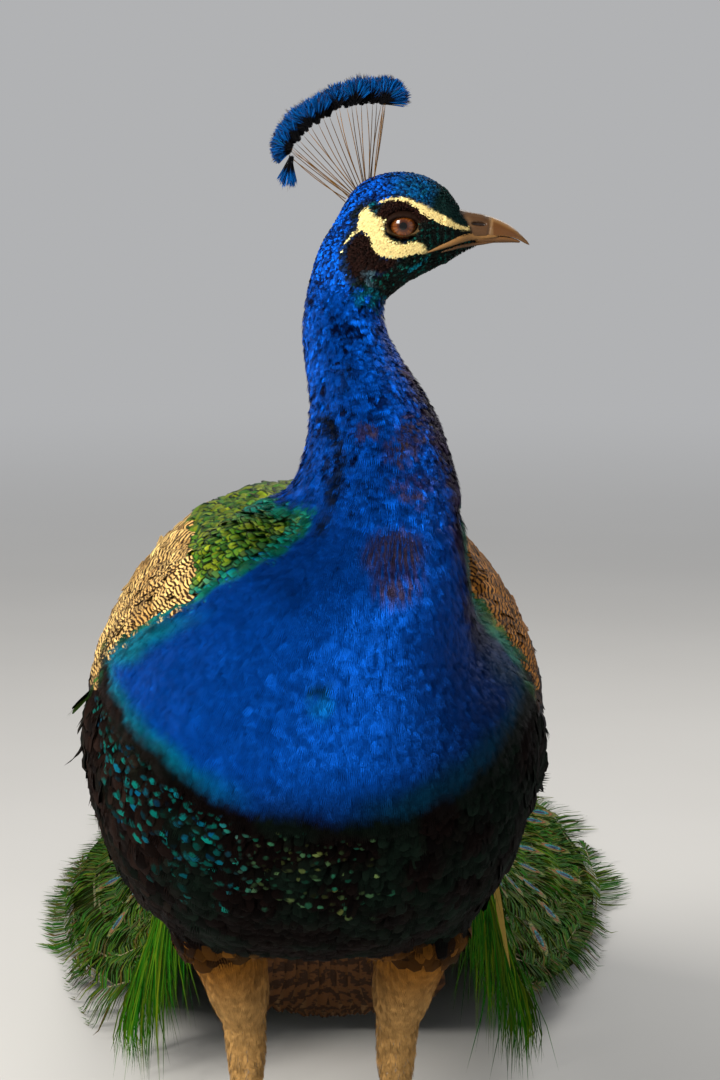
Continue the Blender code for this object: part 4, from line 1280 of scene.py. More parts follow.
def grow(
    name: str, surface: Surface, vane: Vane, growth: Growth, shade: tuple[float, float] = (0.6, 1.12),
    drift: float = 0.6
) -> Piece:
    """Lays feathers of one shape over a surface and joins them.

    Args:
        name: The piece's name.
        surface: What they lie on.
        vane: Their shape.
        growth: Their places, sizes and colours.
        shade: How bright the colour is at the root and at the tip: painted shade at the root, where other feathers
            lie over it, and painted light at the tip.
        drift: How far each keeps its own way, instead of turning with the lie of the coat.

    Returns:
        One piece that holds them all.
    """
    count = len(growth.roots)
    levels = np.array(vane.levels)
    here, up, way = growth.roots, growth.normals, across(growth.lies, growth.normals)
    lines, ups = [here - up * ROOT_DEPTH], [up]
    for before, after in zip(levels, levels[1:]):
        step = (after - before) * growth.lengths[:, None]
        ahead = here + way * step
        place, normal = surface.nearest(ahead)
        bends = (normal * up).sum(axis=1, keepdims=True) < STIFF
        here, up = np.where(bends, ahead, place), np.where(bends, up, normal)
        lie, _ = SPINE_LINE.read(here)
        way = across(way * drift + lie * (1 - drift), up)
        lines.append(here + up * (growth.heights * min(after, 1.0) ** 0.75)[:, None])
        ups.append(up)
    line, rise = np.stack(lines, axis=1), np.stack(ups, axis=1)
    course = unit(np.gradient(line, axis=1))
    beside = unit(np.cross(course, rise))
    out = np.cross(beside, course)
    if growth.roll is not None:
        cos, sin = np.cos(growth.roll)[:, None, None], np.sin(growth.roll)[:, None, None]
        beside, out = beside * cos + out * sin, out * cos - beside * sin
    level = np.array(vane.level)
    half = growth.widths[:, None, None] / 2
    points = (
        line[:, level]
        + beside[:, level] * (np.array(vane.beside)[None, :, None] * half)
        + out[:, level] * (np.array(vane.rise)[None, :, None] * half)
    )
    offsets = (np.arange(count) * len(level))[:, None, None]
    quads = (np.array(vane.quads, int).reshape(1, -1, 4) + offsets).reshape(-1, 4)
    triangles = (np.array(vane.triangles, int).reshape(1, -1, 3) + offsets).reshape(-1, 3)
    piece = make_piece(name, points.reshape(-1, 3), quads, triangles)
    along = np.minimum(levels[level] / levels.max(), 1.0)
    # Painted shade and light: each feather is darkened at its root and brightened towards its tip; pale feathers are
    # darkened less at the root.
    pale = soft(growth.tones.mean(axis=1), 0.22, 0.25)
    start = shade[0] + (0.92 - shade[0]) * pale * 0.8
    light = start[:, None] + (shade[1] - start)[:, None] * along[None]
    tones = growth.tones[:, None]
    if growth.paint is not None:
        own = growth.paint(points.reshape(-1, 3), np.repeat(growth.normals, len(level), axis=0))
        tones = own.reshape(count, len(level), 3) * growth.lights[:, None, None]
    spots = growth.spots if growth.spots is not None else np.zeros((count, 4))
    own = np.empty((count, len(level), 3))
    own[..., 0], own[..., 1] = along, np.array(vane.beside) / 2 + 0.5
    own[..., 2] = growth.lengths[:, None]
    places = growth.places if growth.places is not None else SPINE_LINE.read(growth.roots)[1]
    patch = np.stack((along - 0.5, np.array(vane.beside) / 2), axis=1) * PATCH
    tones = (tones * light[:, :, None]).clip(0, 0.97).reshape(-1, 3)
    places = (places[:, None] + patch[None]).reshape(-1, 2)
    mark(piece, tones, own.reshape(-1, 3), places, np.repeat(spots, len(level), axis=0))
    return piece


PATCH = 0.003  # side of each feather's patch on the unwrap
ROOT_DEPTH = 0.0004  # of the feathers' roots in the skin
STIFF = 0.86  # where a surface turns more sharply than this cosine, a feather runs straight on


@dataclass
class Coat:
    """Feathers of one kind over one part of the skin."""

    name: str
    slot: str
    vane: Vane
    finish: Finish
    spacing: float
    length: float
    width: float
    height: float
    seed: int
    unruly: float = 0.1  # how far feathers stray from the lie, in radians
    vary: float = 0.18  # how much their sizes differ
    light: float = 0.18  # how much their brightness differs
    # painted shade at the feathers' roots and painted light at their tips
    shade: tuple[float, float] = (0.6, 1.12)
    roll: float = 0.25
    drift: float = 0.6
    reach: float = 0.6  # how far along itself each feather takes its colour from the markings
    fine: bool = False  # whether the markings are drawn on each barb

    def build(
        self, surface: Surface, keep: ByPlace, colours: ByPlace,
        spots: Callable[[Array, Array, Chance], Array] | None = None, size: Callable[[Array], Array] | None = None,
        lies: Callable[[Array], Array] | None = None,
    ) -> Piece:
        """Makes the coat and dresses it.

        Args:
            surface: The skin.
            keep: Says which places it covers.
            colours: The colour at places, by their normals.
            spots: The second colour of each feather, and how plainly it shows.
            size: A factor on the feathers' size, by place.
            lies: The way they point, if not the body's own.

        Returns:
            The coat.
        """
        random = np.random.default_rng(self.seed)
        roots, normals = surface.scatter(self.spacing, random, keep)
        count = len(roots)
        way, places = SPINE_LINE.read(roots)
        if lies is not None:
            way = lies(roots)
        way = across(way, normals)
        turn = random.normal(0, self.unruly, count)[:, None]
        way = way * np.cos(turn) + np.cross(normals, way) * np.sin(turn)
        scale = size(roots) if size is not None else np.ones(count)
        seen = roots + way * (self.length * self.reach * scale)[:, None]
        lights = (1 + random.normal(0, self.light, count)).clip(0.4, 1.7)
        tones = colours(seen, normals) * lights[:, None]
        growth = Growth(
            roots, normals, way, self.length * scale * random.normal(1, self.vary, count).clip(0.6, 1.5),
            self.width * scale * random.normal(1, self.vary * 0.7, count).clip(0.6, 1.4),
            self.height * np.sqrt(scale) * random.normal(0.95, 0.16, count).clip(0.55, 1.2), tones.clip(0, 1),
            spots(roots, normals, random) if spots is not None else None, random.normal(0, self.roll, count), places,
            colours if self.fine else None, lights,
        )
        piece = grow(self.name, surface, self.vane, growth, self.shade, self.drift)
        return dress(piece, self.finish, self.slot)


HAIR = Vane.fan(6, thin=0.12)
FINE_HAIR = Vane.fan(4, thin=0.16)
SHORT = Vane.scale((0.35, 1.0, 0.8), (0.0, 0.5, 0.82), crown=0.35)
FLAT = Vane.scale((0.5, 1.0, 0.8), (0.0, 0.5, 0.82), crown=0.08)
SCALE = Vane.scale((0.35, 0.95, 1.05, 0.78), (0.0, 0.35, 0.68, 0.9))
SOFT_SCALE = Vane.scale((0.3, 0.9, 1.0), (0.0, 0.4, 0.78), fringe=6)
LONG = Vane.scale((0.25, 0.8, 1.0, 0.95, 0.62), (0.0, 0.25, 0.5, 0.78, 0.93))


@dataclass
class Plumages:
    """The finishes of the body's feathers."""

    blue: Plumage = Plumage("blue_feathers", roughness=0.42, metallic=0.7, specular=0.05)
    face: Plumage = Plumage("face_feathers", roughness=0.6, metallic=0.15, specular=0.06, relief=0.00012)
    scaly: Plumage = Plumage("scaly_feathers", Pattern.SCALED, roughness=0.4, metallic=0.5, specular=0.1)
    sooty: Plumage = Plumage("sooty_feathers", Pattern.SPOTTED, roughness=0.7, metallic=0.1, specular=0.02)
    barred: Plumage = Plumage(
        "barred_feathers", Pattern.BARRED, roughness=0.6, specular=0.12, metallic=0.0, bars=860.0, base_bars=21.0
    )
    buff: Plumage = Plumage("buff_feathers", roughness=0.8, metallic=0.0, specular=0.08)


@dataclass
class BodyCoat:
    """All the feathers that lie on the skin."""

    surface: Surface
    plumages: Plumages = field(default_factory=Plumages)
    nape_line: float = 0.64  # height where the head's coat ends

    def build(self) -> None:
        """Makes each coat in turn."""
        self.face()
        self.cheeks()
        self.neck()
        self.breast()
        self.belly()
        self.mantle()
        self.wings()

    def head_size(self, points: Array) -> Array:
        """How large the head's feathers are, by place: smallest round the eyes and the bill."""
        forward, _, up = (points - EYE).T
        face = soft(forward, -0.03, 0.03) * soft(-np.abs(up + 0.002), -0.018, 0.008)
        front = soft(forward, 0.018, 0.016)
        return 1.0 - 0.38 * face - 0.25 * front + 0.55 * soft(-up, 0.016, 0.025) * soft(-forward, -0.002, 0.02)

    def keep_head(self, points: Array, normals: Array) -> Array:
        """Whether each place is on the head, outside the eyes' lids and the bill."""
        forward, _, up = (points - EYE).T
        clear = np.hypot(forward * 0.93, up + 0.0002) > 0.0094
        slot = MARKINGS.lip.gap(forward, up, closed=False) > 0.0018
        behind = MARKINGS.bill_edge(forward, up) < -0.0004
        return (points[:, 2] > self.nape_line - 0.004) & (points[:, 0] > -0.02) & clear & behind & slot

    def pale_share(self, points: Array) -> Array:
        """How much of each place is cream: the cheeks and the line over each eye."""
        forward, _, up = (points - EYE).T
        return np.maximum(soft(MARKINGS.cheek.depth(forward, up), 0.0003, 0.0006), MARKINGS.brow_share(forward, up))

    def face(self) -> None:
        """The small feathers of the head: curled on the crown, velvety on the face."""
        def keep(points: Array, normals: Array) -> Array:
            """The head, but for its cream parts."""
            return self.keep_head(points, normals) & (self.pale_share(points) < 0.6)

        coat = Coat(
            "head_feathers", "face_plumage", SHORT, self.plumages.face, 0.00098, 0.0028, 0.0018, 0.0014, 101,
            unruly=0.34, vary=0.22, light=0.4, shade=(0.18, 1.4), roll=0.4,
        )
        coat.build(self.surface, keep, MARKINGS.skin, size=self.head_size)

    def cheeks(self) -> None:
        """The cream line over each eye and the cream cheeks, of finer feathers than the rest."""
        def keep(points: Array, normals: Array) -> Array:
            """The head's cream parts."""
            return self.keep_head(points, normals) & (self.pale_share(points) > 0.4)

        def colours(points: Array, normals: Array) -> Array:
            """Cream all over."""
            return np.tile(MARKINGS.cream * 1.12, (len(points), 1))

        coat = Coat(
            "cheek_feathers", "face_plumage", FLAT, self.plumages.face, 0.0007, 0.0023, 0.0011, 0.0009, 102,
            unruly=0.12, vary=0.2, light=0.05, shade=(0.94, 1.05), roll=0.08, reach=0.0,
        )
        coat.build(self.surface, keep, colours)

    def neck(self) -> None:
        """The ragged feathers of the neck."""
        def keep(points: Array, normals: Array) -> Array:
            """The neck's blue, up to the head's coat."""
            blue = MARKINGS.bib_edge(points) > 0.0
            return (points[:, 2] > 0.505) & (points[:, 2] < self.nape_line + 0.004) & blue

        def size(points: Array) -> Array:
            """Shorter up the neck and down its front."""
            x, _, z = points.T
            front = soft(x - np.interp(z, (0.5, 0.56, 0.6, 0.64), (0.066, 0.05, 0.036, 0.03)), 0, 0.012)
            return np.interp(z, (0.5, 0.56, 0.62, 0.645), (1.15, 0.92, 0.7, 0.5)) * (1 - 0.35 * front)

        coat = Coat(
            "neck_scales", "blue_plumage", SOFT_SCALE, self.plumages.blue, 0.0025, 0.01, 0.0058, 0.003, 111,
            unruly=0.15, vary=0.24, light=0.26, shade=(0.15, 1.4), roll=0.16,
        )
        coat.build(self.surface, keep, MARKINGS.skin, size=size)
        coat = Coat(
            "neck_hairs", "blue_plumage", HAIR, self.plumages.blue, 0.0026, 0.0105, 0.0052, 0.0036, 112,
            unruly=0.2, vary=0.3, light=0.3, shade=(0.2, 1.55), roll=0.22, fine=True,
        )
        coat.build(self.surface, keep, MARKINGS.skin, size=size)

    def breast(self) -> None:
        """The fine blue of the breast, in two pieces, left and right."""
        for name, side, seed in (("breast_right", -1, 121), ("breast_left", 1, 122)):
            def keep(points: Array, normals: Array, side: int = side) -> Array:
                """One side of the blue below the neck."""
                return (
                    (MARKINGS.bib_edge(points) > -0.0005) & (points[:, 2] < 0.509)
                    & ((points[:, 0] - 0.012) * side > 0)
                )

            coat = Coat(
                name, "blue_plumage", HAIR, self.plumages.blue, 0.002, 0.0118, 0.0056, 0.0046, seed,
                unruly=0.1, vary=0.2, light=0.12, shade=(0.45, 1.25), roll=0.14, fine=True,
            )
            coat.build(self.surface, keep, MARKINGS.skin)

    def belly(self) -> None:
        """The sooty feathers under the breast, with bright spots."""
        def keep(points: Array, normals: Array) -> Array:
            """What lies under the blue, outside the thighs and the wings."""
            top = normals[:, 2] + (points[:, 2] - 0.4) * 6 > 0.62
            return (
                (MARKINGS.bib_edge(points) < 0.001) & ~top & (thigh_share(points) < 0.85) & (wing_share(points) < 0.4)
                & (points[:, 2] < 0.47) & (points[:, 2] > 0.205)
            )

        def spots(points: Array, normals: Array, random: Chance) -> Array:
            """Green spots, thickest near the blue's edge; on the bird's right, where the key light falls, turquoise,
            more of them and brighter, as painted light.
            """
            x, y, _ = points.T
            below = -MARKINGS.bib_edge(points)
            count = len(x)
            # Painted light: the bird's right, where the key light falls, gets turquoise spots, more of them and
            # brighter ones; the spots themselves are the belly's own marking.
            side = soft(-x, 0.04, 0.03)
            green = blend((0.004, 0.1, 0.06), (0.1, 0.12, 0.03), random.random(count) ** 1.2)
            teal = blend((0.0006, 0.12, 0.095), (0.0005, 0.05, 0.12), random.random(count) ** 1.8)
            colour = blend(green, teal, side)
            left = side * (soft(-below, -0.036, 0.02) + 0.25 * soft(-below, -0.065, 0.02)) * soft(below, 0.0, 0.004)
            middle = soft(-np.abs(x + 0.004), -0.04, 0.02) * soft(-below, -0.05, 0.02) * soft(below, 0.004, 0.01)
            share = np.clip(left * 1.1 + middle * 0.65, 0, 1) * soft(-y, -0.02, 0.06)
            shown = random.random(count) < share
            # Each spot's brightness differs at random, and away from the bird's right it is dimmed to 0.8 as painted
            # shade.
            bright = random.uniform(0.15, 1.5, count) ** 1.3 * np.where(side > 0.5, 1.0, 0.8)
            return np.column_stack((colour * bright[:, None], shown * random.uniform(0.45, 1, count)))

        def size(points: Array) -> Array:
            """Smaller by the blue's edge, in the middle and on the thighs."""
            near = np.interp(MARKINGS.bib_edge(points), (-0.12, -0.04, 0.0), (1.25, 0.95, 0.6))
            middle = soft(-np.abs(points[:, 0] + 0.004), -0.045, 0.02) * soft(-points[:, 1], 0.02, 0.04)
            return near * (1 - 0.3 * middle) * (1 - 0.45 * thigh_share(points))

        def colours(points: Array, normals: Array) -> Array:
            """The skin's colours, but dark where the thighs begin."""
            return blend(MARKINGS.skin(points, normals), MARKINGS.under(points), thigh_share(points) * 0.9)

        coat = Coat(
            "belly_feathers", "dark_plumage", SCALE, self.plumages.sooty, 0.0045, 0.0195, 0.0105, 0.005, 131,
            unruly=0.2, vary=0.22, light=0.4, shade=(0.4, 1.2), roll=0.2,
        )
        coat.build(self.surface, keep, colours, spots, size)
        coat = Coat(
            "belly_hairs", "dark_plumage", HAIR, self.plumages.sooty, 0.0066, 0.018, 0.0075, 0.0056, 132,
            unruly=0.25, vary=0.25, light=0.4, shade=(0.5, 1.4), roll=0.3,
        )
        coat.build(self.surface, keep, colours, size=size)

    def mantle(self) -> None:
        """The scaly feathers of the mantle, the back and the rump."""
        def keep(points: Array, normals: Array) -> Array:
            """The upper side between the wings, as far as the train."""
            top = normals[:, 2] + (points[:, 2] - 0.4) * 6 > 0.45
            return (
                (MARKINGS.bib_edge(points) < 0.004) & top & (wing_share(points) < 0.5) & (points[:, 1] < 0.31)
                & (points[:, 2] > 0.3)
            )

        def spots(points: Array, normals: Array, random: Chance) -> Array:
            """Green and bronze middles, bluer beside the neck."""
            count = len(points)
            bright = blend((0.02, 0.16, 0.012), (0.27, 0.3, 0.01), random.random(count))
            near = soft(MARKINGS.bib_edge(points), -0.007, 0.007)
            bright = blend(bright, (0.001, 0.2, 0.15), near)
            plain = random.uniform(0.1, 1.0, count)
            return np.column_stack((bright * random.uniform(0.35, 1.4, count)[:, None], plain))

        def size(points: Array) -> Array:
            """Larger towards the train."""
            return np.interp(points[:, 1], (-0.12, -0.06, 0.0, 0.05, 0.15, 0.28), (0.5, 0.55, 0.7, 0.95, 1.3, 1.75))

        coat = Coat(
            "back_scales", "green_plumage", SCALE, self.plumages.scaly, 0.0036, 0.015, 0.0125, 0.0048, 141,
            unruly=0.14, vary=0.16, light=0.4, shade=(0.6, 1.15), roll=0.22,
        )
        coat.build(self.surface, keep, MARKINGS.skin, spots, size)

    def wings(self) -> None:
        """The barred feathers over the folded wings, larger towards their tips."""
        def depth(points: Array) -> Array:
            """The same depth everywhere."""
            return np.full(len(points), 0.008)

        left, right = (
            growing_surface(
                f"wing_{name}", f"wing_tip_{name}", voxel=0.003, depth=depth
            ) for name in ("left", "right")
        )
        change = 0.1  # where the wings come free of the trunk

        def front(points: Array, normals: Array) -> Array:
            """The wings on the trunk."""
            return (wing_share(points) > 0.35) & (points[:, 1] < change)

        def rear(points: Array, normals: Array) -> Array:
            """The wings' outer sides, free of the trunk, below their upper edge."""
            outer = np.sign(points[:, 0]) * normals[:, 0] > 0.3
            ridge = np.interp(points[:, 1], (0.1, 0.13, 0.16, 0.19, 0.22), (0.473, 0.459, 0.443, 0.422, 0.399))
            return (points[:, 1] >= change) & (points[:, 1] < 0.222) & outer & (points[:, 2] < ridge)

        def colours(points: Array, normals: Array) -> Array:
            """The light between the bars."""
            return MARKINGS.wing(points)[0]

        def spots(points: Array, normals: Array, random: Chance) -> Array:
            """The bars."""
            _, dark, plain = MARKINGS.wing(points)
            return np.column_stack((dark, plain))

        def size(points: Array) -> Array:
            """Larger towards the wings' ends."""
            return np.interp(points[:, 1], (-0.08, -0.03, 0.02, 0.12, 0.22), (0.5, 0.6, 0.8, 1.25, 1.6))

        for name, surface, keep, seed in (
            ("wing_coverts", self.surface, front, 151), ("rear_wing_coverts", joined(left, right), rear, 152)
        ):
            coat = Coat(
                name, "barred_plumage", LONG, self.plumages.barred, 0.005, 0.025, 0.015, 0.0054, seed,
                unruly=0.14, vary=0.18, light=0.24, shade=(0.4, 1.15), roll=0.2,
            )
            coat.build(surface, keep, colours, spots, size)

    def thighs(self) -> None:
        """The soft buff feathers of the thighs, which run on over the tops of the shanks."""
        def depth(points: Array) -> Array:
            """None on the bare shanks."""
            return 0.0024 * soft(points[:, 2], 0.195, 0.03)

        surface = growing_surface(
            "thigh_left", "shank_left", "thigh_right", "shank_right", voxel=0.0025, depth=depth
        )

        def keep(points: Array, normals: Array) -> Array:
            """The thighs, and the tops of the shanks."""
            z = points[:, 2]
            return ((thigh_share(points) > 0.5) & (z < 0.2315)) | ((z < 0.215) & (z > 0.158))

        def lies(points: Array) -> Array:
            """Down, and a little back."""
            return np.tile((0.0, 0.06, -1.0), (len(points), 1))

        def colours(points: Array, normals: Array) -> Array:
            """Buff."""
            return MARKINGS.thigh(points)

        def size(points: Array) -> Array:
            """Shorter at the top and on the shanks."""
            return np.interp(points[:, 2], (0.155, 0.185, 0.215, 0.24), (0.85, 0.95, 1.0, 0.7))

        coat = Coat(
            "thigh_feathers", "buff_plumage", FINE_HAIR, self.plumages.buff, 0.0021, 0.0092, 0.0036, 0.0017, 161,
            unruly=0.12, vary=0.22, light=0.13, shade=(0.78, 1.1), roll=0.2, drift=1.0,
        )
        coat.build(surface, keep, colours, size=size, lies=lies)


# --- eyes and bill ---
@dataclass(frozen=True)
class Gaze(Finish):
    """The wet eye: a black pupil in an amber iris with a dark rim."""

    name: str = "wet_eye"
    pupil: float = 0.27  # share of the ball's radius
    iris: float = 0.88

    def paint(self) -> bpy.types.Material:
        """Rings about the eye's axis, with fine spokes in the iris."""
        board = Board(self.name)
        look = board.attribute("look").outputs["Color"]
        ahead, above = board.axis(look, "X"), board.axis(look, "Y")
        reach = (ahead * ahead + above * above).power(0.5)
        spokes = board.noise(
            5.0, board.node("ShaderNodeVectorMath", {"operation": "NORMALIZE"}, {0: look}).outputs[0]
        )
        amber = board.mix(spokes.step(0.35, 0.7), (0.06, 0.013, 0.0015), (0.165, 0.046, 0.005))
        amber = board.mix(reach.step(0.5, 0.36), amber, (0.04, 0.009, 0.002))
        amber = board.mix(reach.step(0.66, self.iris), amber, (0.02, 0.006, 0.002))
        colour = board.mix(reach.step(self.pupil + 0.03, self.pupil - 0.02), amber, (0.001, 0.001, 0.001))
        return board.set(
            Base_Color=colour, Roughness=0.15, Specular_IOR_Level=0.2, Coat_Weight=0.4, Coat_Roughness=0.02
        )


@dataclass
class Eye:
    """One eye and its lids."""

    name: str
    side: int  # 1 on the bird's left
    surface: Surface
    radius: float = 0.0085
    depth: float = 0.0072
    opening: Triple = (0.008, 0.005, 0.0057)  # ahead and behind, above, below
    lid: Triple = (0.011, 0.0096, 0.0079)
    steps: int = 72

    def build(self) -> None:
        """Makes the ball and the lids."""
        self.ball()
        self.lids()

    def bulge(self, ahead: Array, above: Array) -> Array:
        """How far the ball's face stands from the head's middle plane."""
        inside = np.clip(1 - (ahead**2 + above**2) / self.radius**2, 0, 1)
        return EYE_OFFSET + self.depth * np.sqrt(inside)

    def ball(self) -> None:
        """The flattened ball."""
        bpy.ops.object.select_all(action="DESELECT")
        bpy.ops.mesh.primitive_uv_sphere_add(segments=48, ring_count=32, radius=self.radius)
        piece = bpy.context.object
        piece.name = piece.data.name = f"eye_ball_{self.name}"
        local = points_of(piece) + SHIFT
        out = EYE_OFFSET + local[:, 2] * self.depth / self.radius
        points = EYE + np.stack((local[:, 0], self.side * out, -self.side * local[:, 1]), axis=1)
        move_points(piece, points)
        piece.data.shade_smooth()
        look = (points - EYE)[:, [0, 2, 1]] / self.radius
        set_attribute(piece, "look", look * (1, 1, 0))
        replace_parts(piece, f"eye_{self.name}")
        dress(piece, Gaze(), "eye")

    def lids(self) -> None:
        """A thick upper lid and a thinner, grainy ring below and behind."""
        turns = np.linspace(0, 2 * math.pi, self.steps, endpoint=False)
        shares = np.array((0.0, 0.08, 0.22, 0.42, 0.62, 0.82, 1.0))
        ridge = np.array((0.0004, 0.0012, 0.0019, 0.0021, 0.0016, 0.0008, -0.001))
        cos, sin = np.cos(turns), np.sin(turns)
        upper = soft(sin, 0.15, 0.7)
        inner = np.stack((cos * self.opening[0], sin * np.where(sin > 0, self.opening[1], self.opening[2])), axis=1)
        outer = np.stack((cos * self.lid[0], sin * np.where(sin > 0, self.lid[1], self.lid[2])), axis=1)
        inner[:, 0] += np.where(cos > 0, 0.0006, 0) * (1 - np.abs(sin))
        rows, tones, base = [], [], []
        for share, rise in zip(shares, ridge):
            flat = inner + (outer - inner) * share
            wrinkle = 0.00012 * np.sin(turns * 23 + share * 40) + 0.0001 * np.sin(turns * 41 + share * 17)
            ball = self.bulge(flat[:, 0], flat[:, 1])
            skin = np.array([self.skin_side(*outer[k]) for k in range(self.steps)]) if not base else base[0]
            base.append(skin)
            start = self.bulge(inner[:, 0], inner[:, 1])
            level = start + (skin - start) * share
            level = level + rise * (0.75 + 0.65 * upper) + wrinkle * (share > 0.1)
            level = np.maximum(level, ball + 0.0003 if share < 0.3 else level)
            rows.append(np.stack((flat[:, 0], self.side * level, flat[:, 1]), axis=1) + EYE)
            dark = np.clip(upper * (1.0 if share < 0.9 else 0.7), 0, 1)
            grain = 0.8 + 0.2 * np.sin(turns * 31 + share * 50) * np.sin(turns * 17 - share * 30)
            pale = np.tile((0.15, 0.09, 0.035), (self.steps, 1)) * grain[:, None]
            pale *= 0.15 if share < 0.05 else (0.55 if share < 0.5 else 1.0)
            behind = soft(-cos, 0.45, 0.6) * 0.6
            tones.append(blend(pale, (0.01, 0.0035, 0.0015), np.clip(dark + behind, 0, 1)))
        count = self.steps
        quads = []
        for n in range(len(shares) - 1):
            for k in range(count):
                low, high, after = n * count + k, (n + 1) * count + k, (k + 1) % count
                face = (low, n * count + after, (n + 1) * count + after, high)
                quads.append(face if self.side < 0 else face[::-1])
        piece = make_piece(f"eye_lids_{self.name}", np.concatenate(rows), np.array(quads))
        set_attribute(piece, "tone", np.concatenate(tones))
        dress(
            piece, Horn("lid_skin", roughness=0.62, grain=2600.0, depth=0.00025, coat=0.0, specular=0.08),
            "face_plumage"
        )

    def skin_side(self, ahead: float, above: float) -> float:
        """How far the head's skin stands from the middle plane at a place beside the eye."""
        start = EYE + np.array((ahead, self.side * 0.05, above))
        hit = self.surface.tree.ray_cast(start.tolist(), (0, -self.side, 0))
        return abs(hit[0][1] - EYE[1])


@dataclass
class Bill:
    """The two mandibles, with the nostrils, and the bare corners of the mouth."""

    surface: Surface
    voxel: float = 0.00048
    nostril: tuple[float, float] = (0.0462, 0.0009)
    nostril_size: tuple[float, float] = (0.0027, 0.0011)
    nostril_depth: float = 0.0016
    tuck: float = 0.003  # how far the bill's base reaches back under the coat
    upper_lip: tuple[Triple, ...] = (  # ahead, up and half its height
        (0.056, -0.0066, 0.0005), (0.05, -0.0066, 0.0016), (0.044, -0.0064, 0.0023), (0.039, -0.0066, 0.0025),
        (0.034, -0.0078, 0.0024), (0.029, -0.0098, 0.002), (0.0225, -0.0124, 0.0014), (0.0185, -0.014, 0.0009),
        (0.0144, -0.0156, 0.0004),
    )
    lower_lip: tuple[Triple, ...] = (
        (0.054, -0.01, 0.0004), (0.046, -0.0108, 0.001), (0.039, -0.0114, 0.0012), (0.033, -0.0124, 0.0011),
        (0.028, -0.0138, 0.0009), (0.0225, -0.0156, 0.0004),
    )

    def build(self) -> None:
        """Makes both mandibles and the corners of the mouth."""
        mandibles = []
        for name in ("bill_upper", "bill_lower"):
            piece = rounded_copy(name, name=f"horn_{name}", voxel=self.voxel, rounds=5)
            points, normals = points_of(piece), normals_of(piece)
            forward, side, up = (points - EYE).T
            if name == "bill_upper":
                points = self.carve(points, normals)
            points = points - (self.tuck, 0.0, 0.0) * soft(-forward, -0.0455, 0.005)[:, None]
            move_points(piece, points)
            piece.data.shade_smooth()
            set_attribute(piece, "tone", self.colour(forward, side, up, name))
            mandibles.append(dress(piece, Horn("bill_horn"), "horn"))
        self.corners(mandibles)

    def nostril_gap(self, forward: Array, up: Array) -> Array:
        """1 at the nostril's rim and less inside it."""
        slope = (forward - self.nostril[0]) * 0.12
        return np.hypot(
            (forward - self.nostril[0]) / self.nostril_size[0], (up - self.nostril[1] + slope) / self.nostril_size[1]
        )

    def carve(self, points: Array, normals: Array) -> Array:
        """Sinks the nostrils, raises the soft lid of each, and sinks the line where the horn begins."""
        forward, side, up = (points - EYE).T
        flank = soft(np.abs(side), 0.0022, 0.002)
        gap = self.nostril_gap(forward, up)
        lid = np.hypot((forward - 0.0425) / 0.0062, (up - 0.0045) / 0.003)
        seam = np.abs(forward - 0.0515 - up * 0.25)
        raised = 0.00055 * soft(-lid, -1.0, 0.7) - 0.00035 * soft(-seam, -0.0007, 0.0008)
        return points + normals * ((raised - self.nostril_depth * soft(-gap, -1.0, 0.6)) * flank)[:, None]

    def colour(self, forward: Array, side: Array, up: Array, name: str) -> Array:
        """Brown horn with a greyish soft base, and painted light and shade: a highlight along the culmen, along the
        upper mandible's cutting edge and along the lower mandible's top, near-black shade in the nostril, and a
        darker underside to the lower mandible.
        """
        horn = np.tile((0.088, 0.031, 0.0045), (len(forward), 1))
        if name == "bill_upper":
            # Painted highlight along the culmen.
            ridge = np.interp(
                forward, (0.033, 0.0465, 0.057, 0.0655, 0.071, 0.0748),
                (0.0102, 0.0065, 0.003, -0.0018, -0.0068, -0.0122)
            )
            horn = blend(horn, (0.215, 0.105, 0.026), soft(up - ridge, -0.0022, 0.0022) * 0.7)
            # Painted highlight along the upper mandible's cutting edge.
            edge = np.interp(forward, (0.045, 0.06, 0.07, 0.076), (-0.0085, -0.0092, -0.0108, -0.014))
            horn = blend(horn, (0.17, 0.078, 0.018), soft(-np.abs(up - edge - 0.0016), -0.0014, 0.0012) * 0.7)
            base = soft(-forward, -0.0515, 0.003)
            horn = blend(horn, (0.052, 0.023, 0.007), base * 0.85)
            pale = soft(-np.hypot(forward - 0.0395, up * 0.8), -0.0042, 0.003)
            horn = blend(horn, (0.115, 0.062, 0.026), pale * 0.6)
            rim = soft(-np.abs(forward - 0.052), -0.0011, 0.001) * soft(np.abs(up + 0.001), 0.0, 0.004)
            horn = blend(horn, (0.19, 0.11, 0.045), rim * 0.6)
            # Painted shade: the nostril's hollow is near-black.
            horn = blend(
                horn, (0.01, 0.004, 0.002),
                soft(-self.nostril_gap(forward, up), -1.0, 0.35) * soft(np.abs(side), 0.002, 0.001)
            )
            horn = blend(horn, (0.06, 0.026, 0.008), soft(forward, 0.068, 0.006) * 0.5)
        else:
            # Painted highlight along the lower mandible's top and painted shade along its underside.
            horn = blend(horn, (0.14, 0.062, 0.016), soft(up, -0.011, 0.002) * 0.6)
            horn = blend(horn, (0.034, 0.015, 0.005), soft(-up, 0.0125, 0.002) * 0.6)
        return horn

    def outs(self, course: Array, side: int, surface: Surface) -> Array:
        """How far out the face and the bill stand along a course, smoothed."""
        found = []
        for forward, up, _ in course:
            start = EYE + np.array((forward, side * 0.05, up))
            hit = surface.tree.ray_cast(start.tolist(), (0, -side, 0))
            found.append(abs(hit[0][1] - EYE[1]) if hit[0] is not None else 0.006)
        padded = np.pad(np.array(found), 3, mode="edge")
        return np.convolve(padded, np.ones(7) / 7, mode="valid")

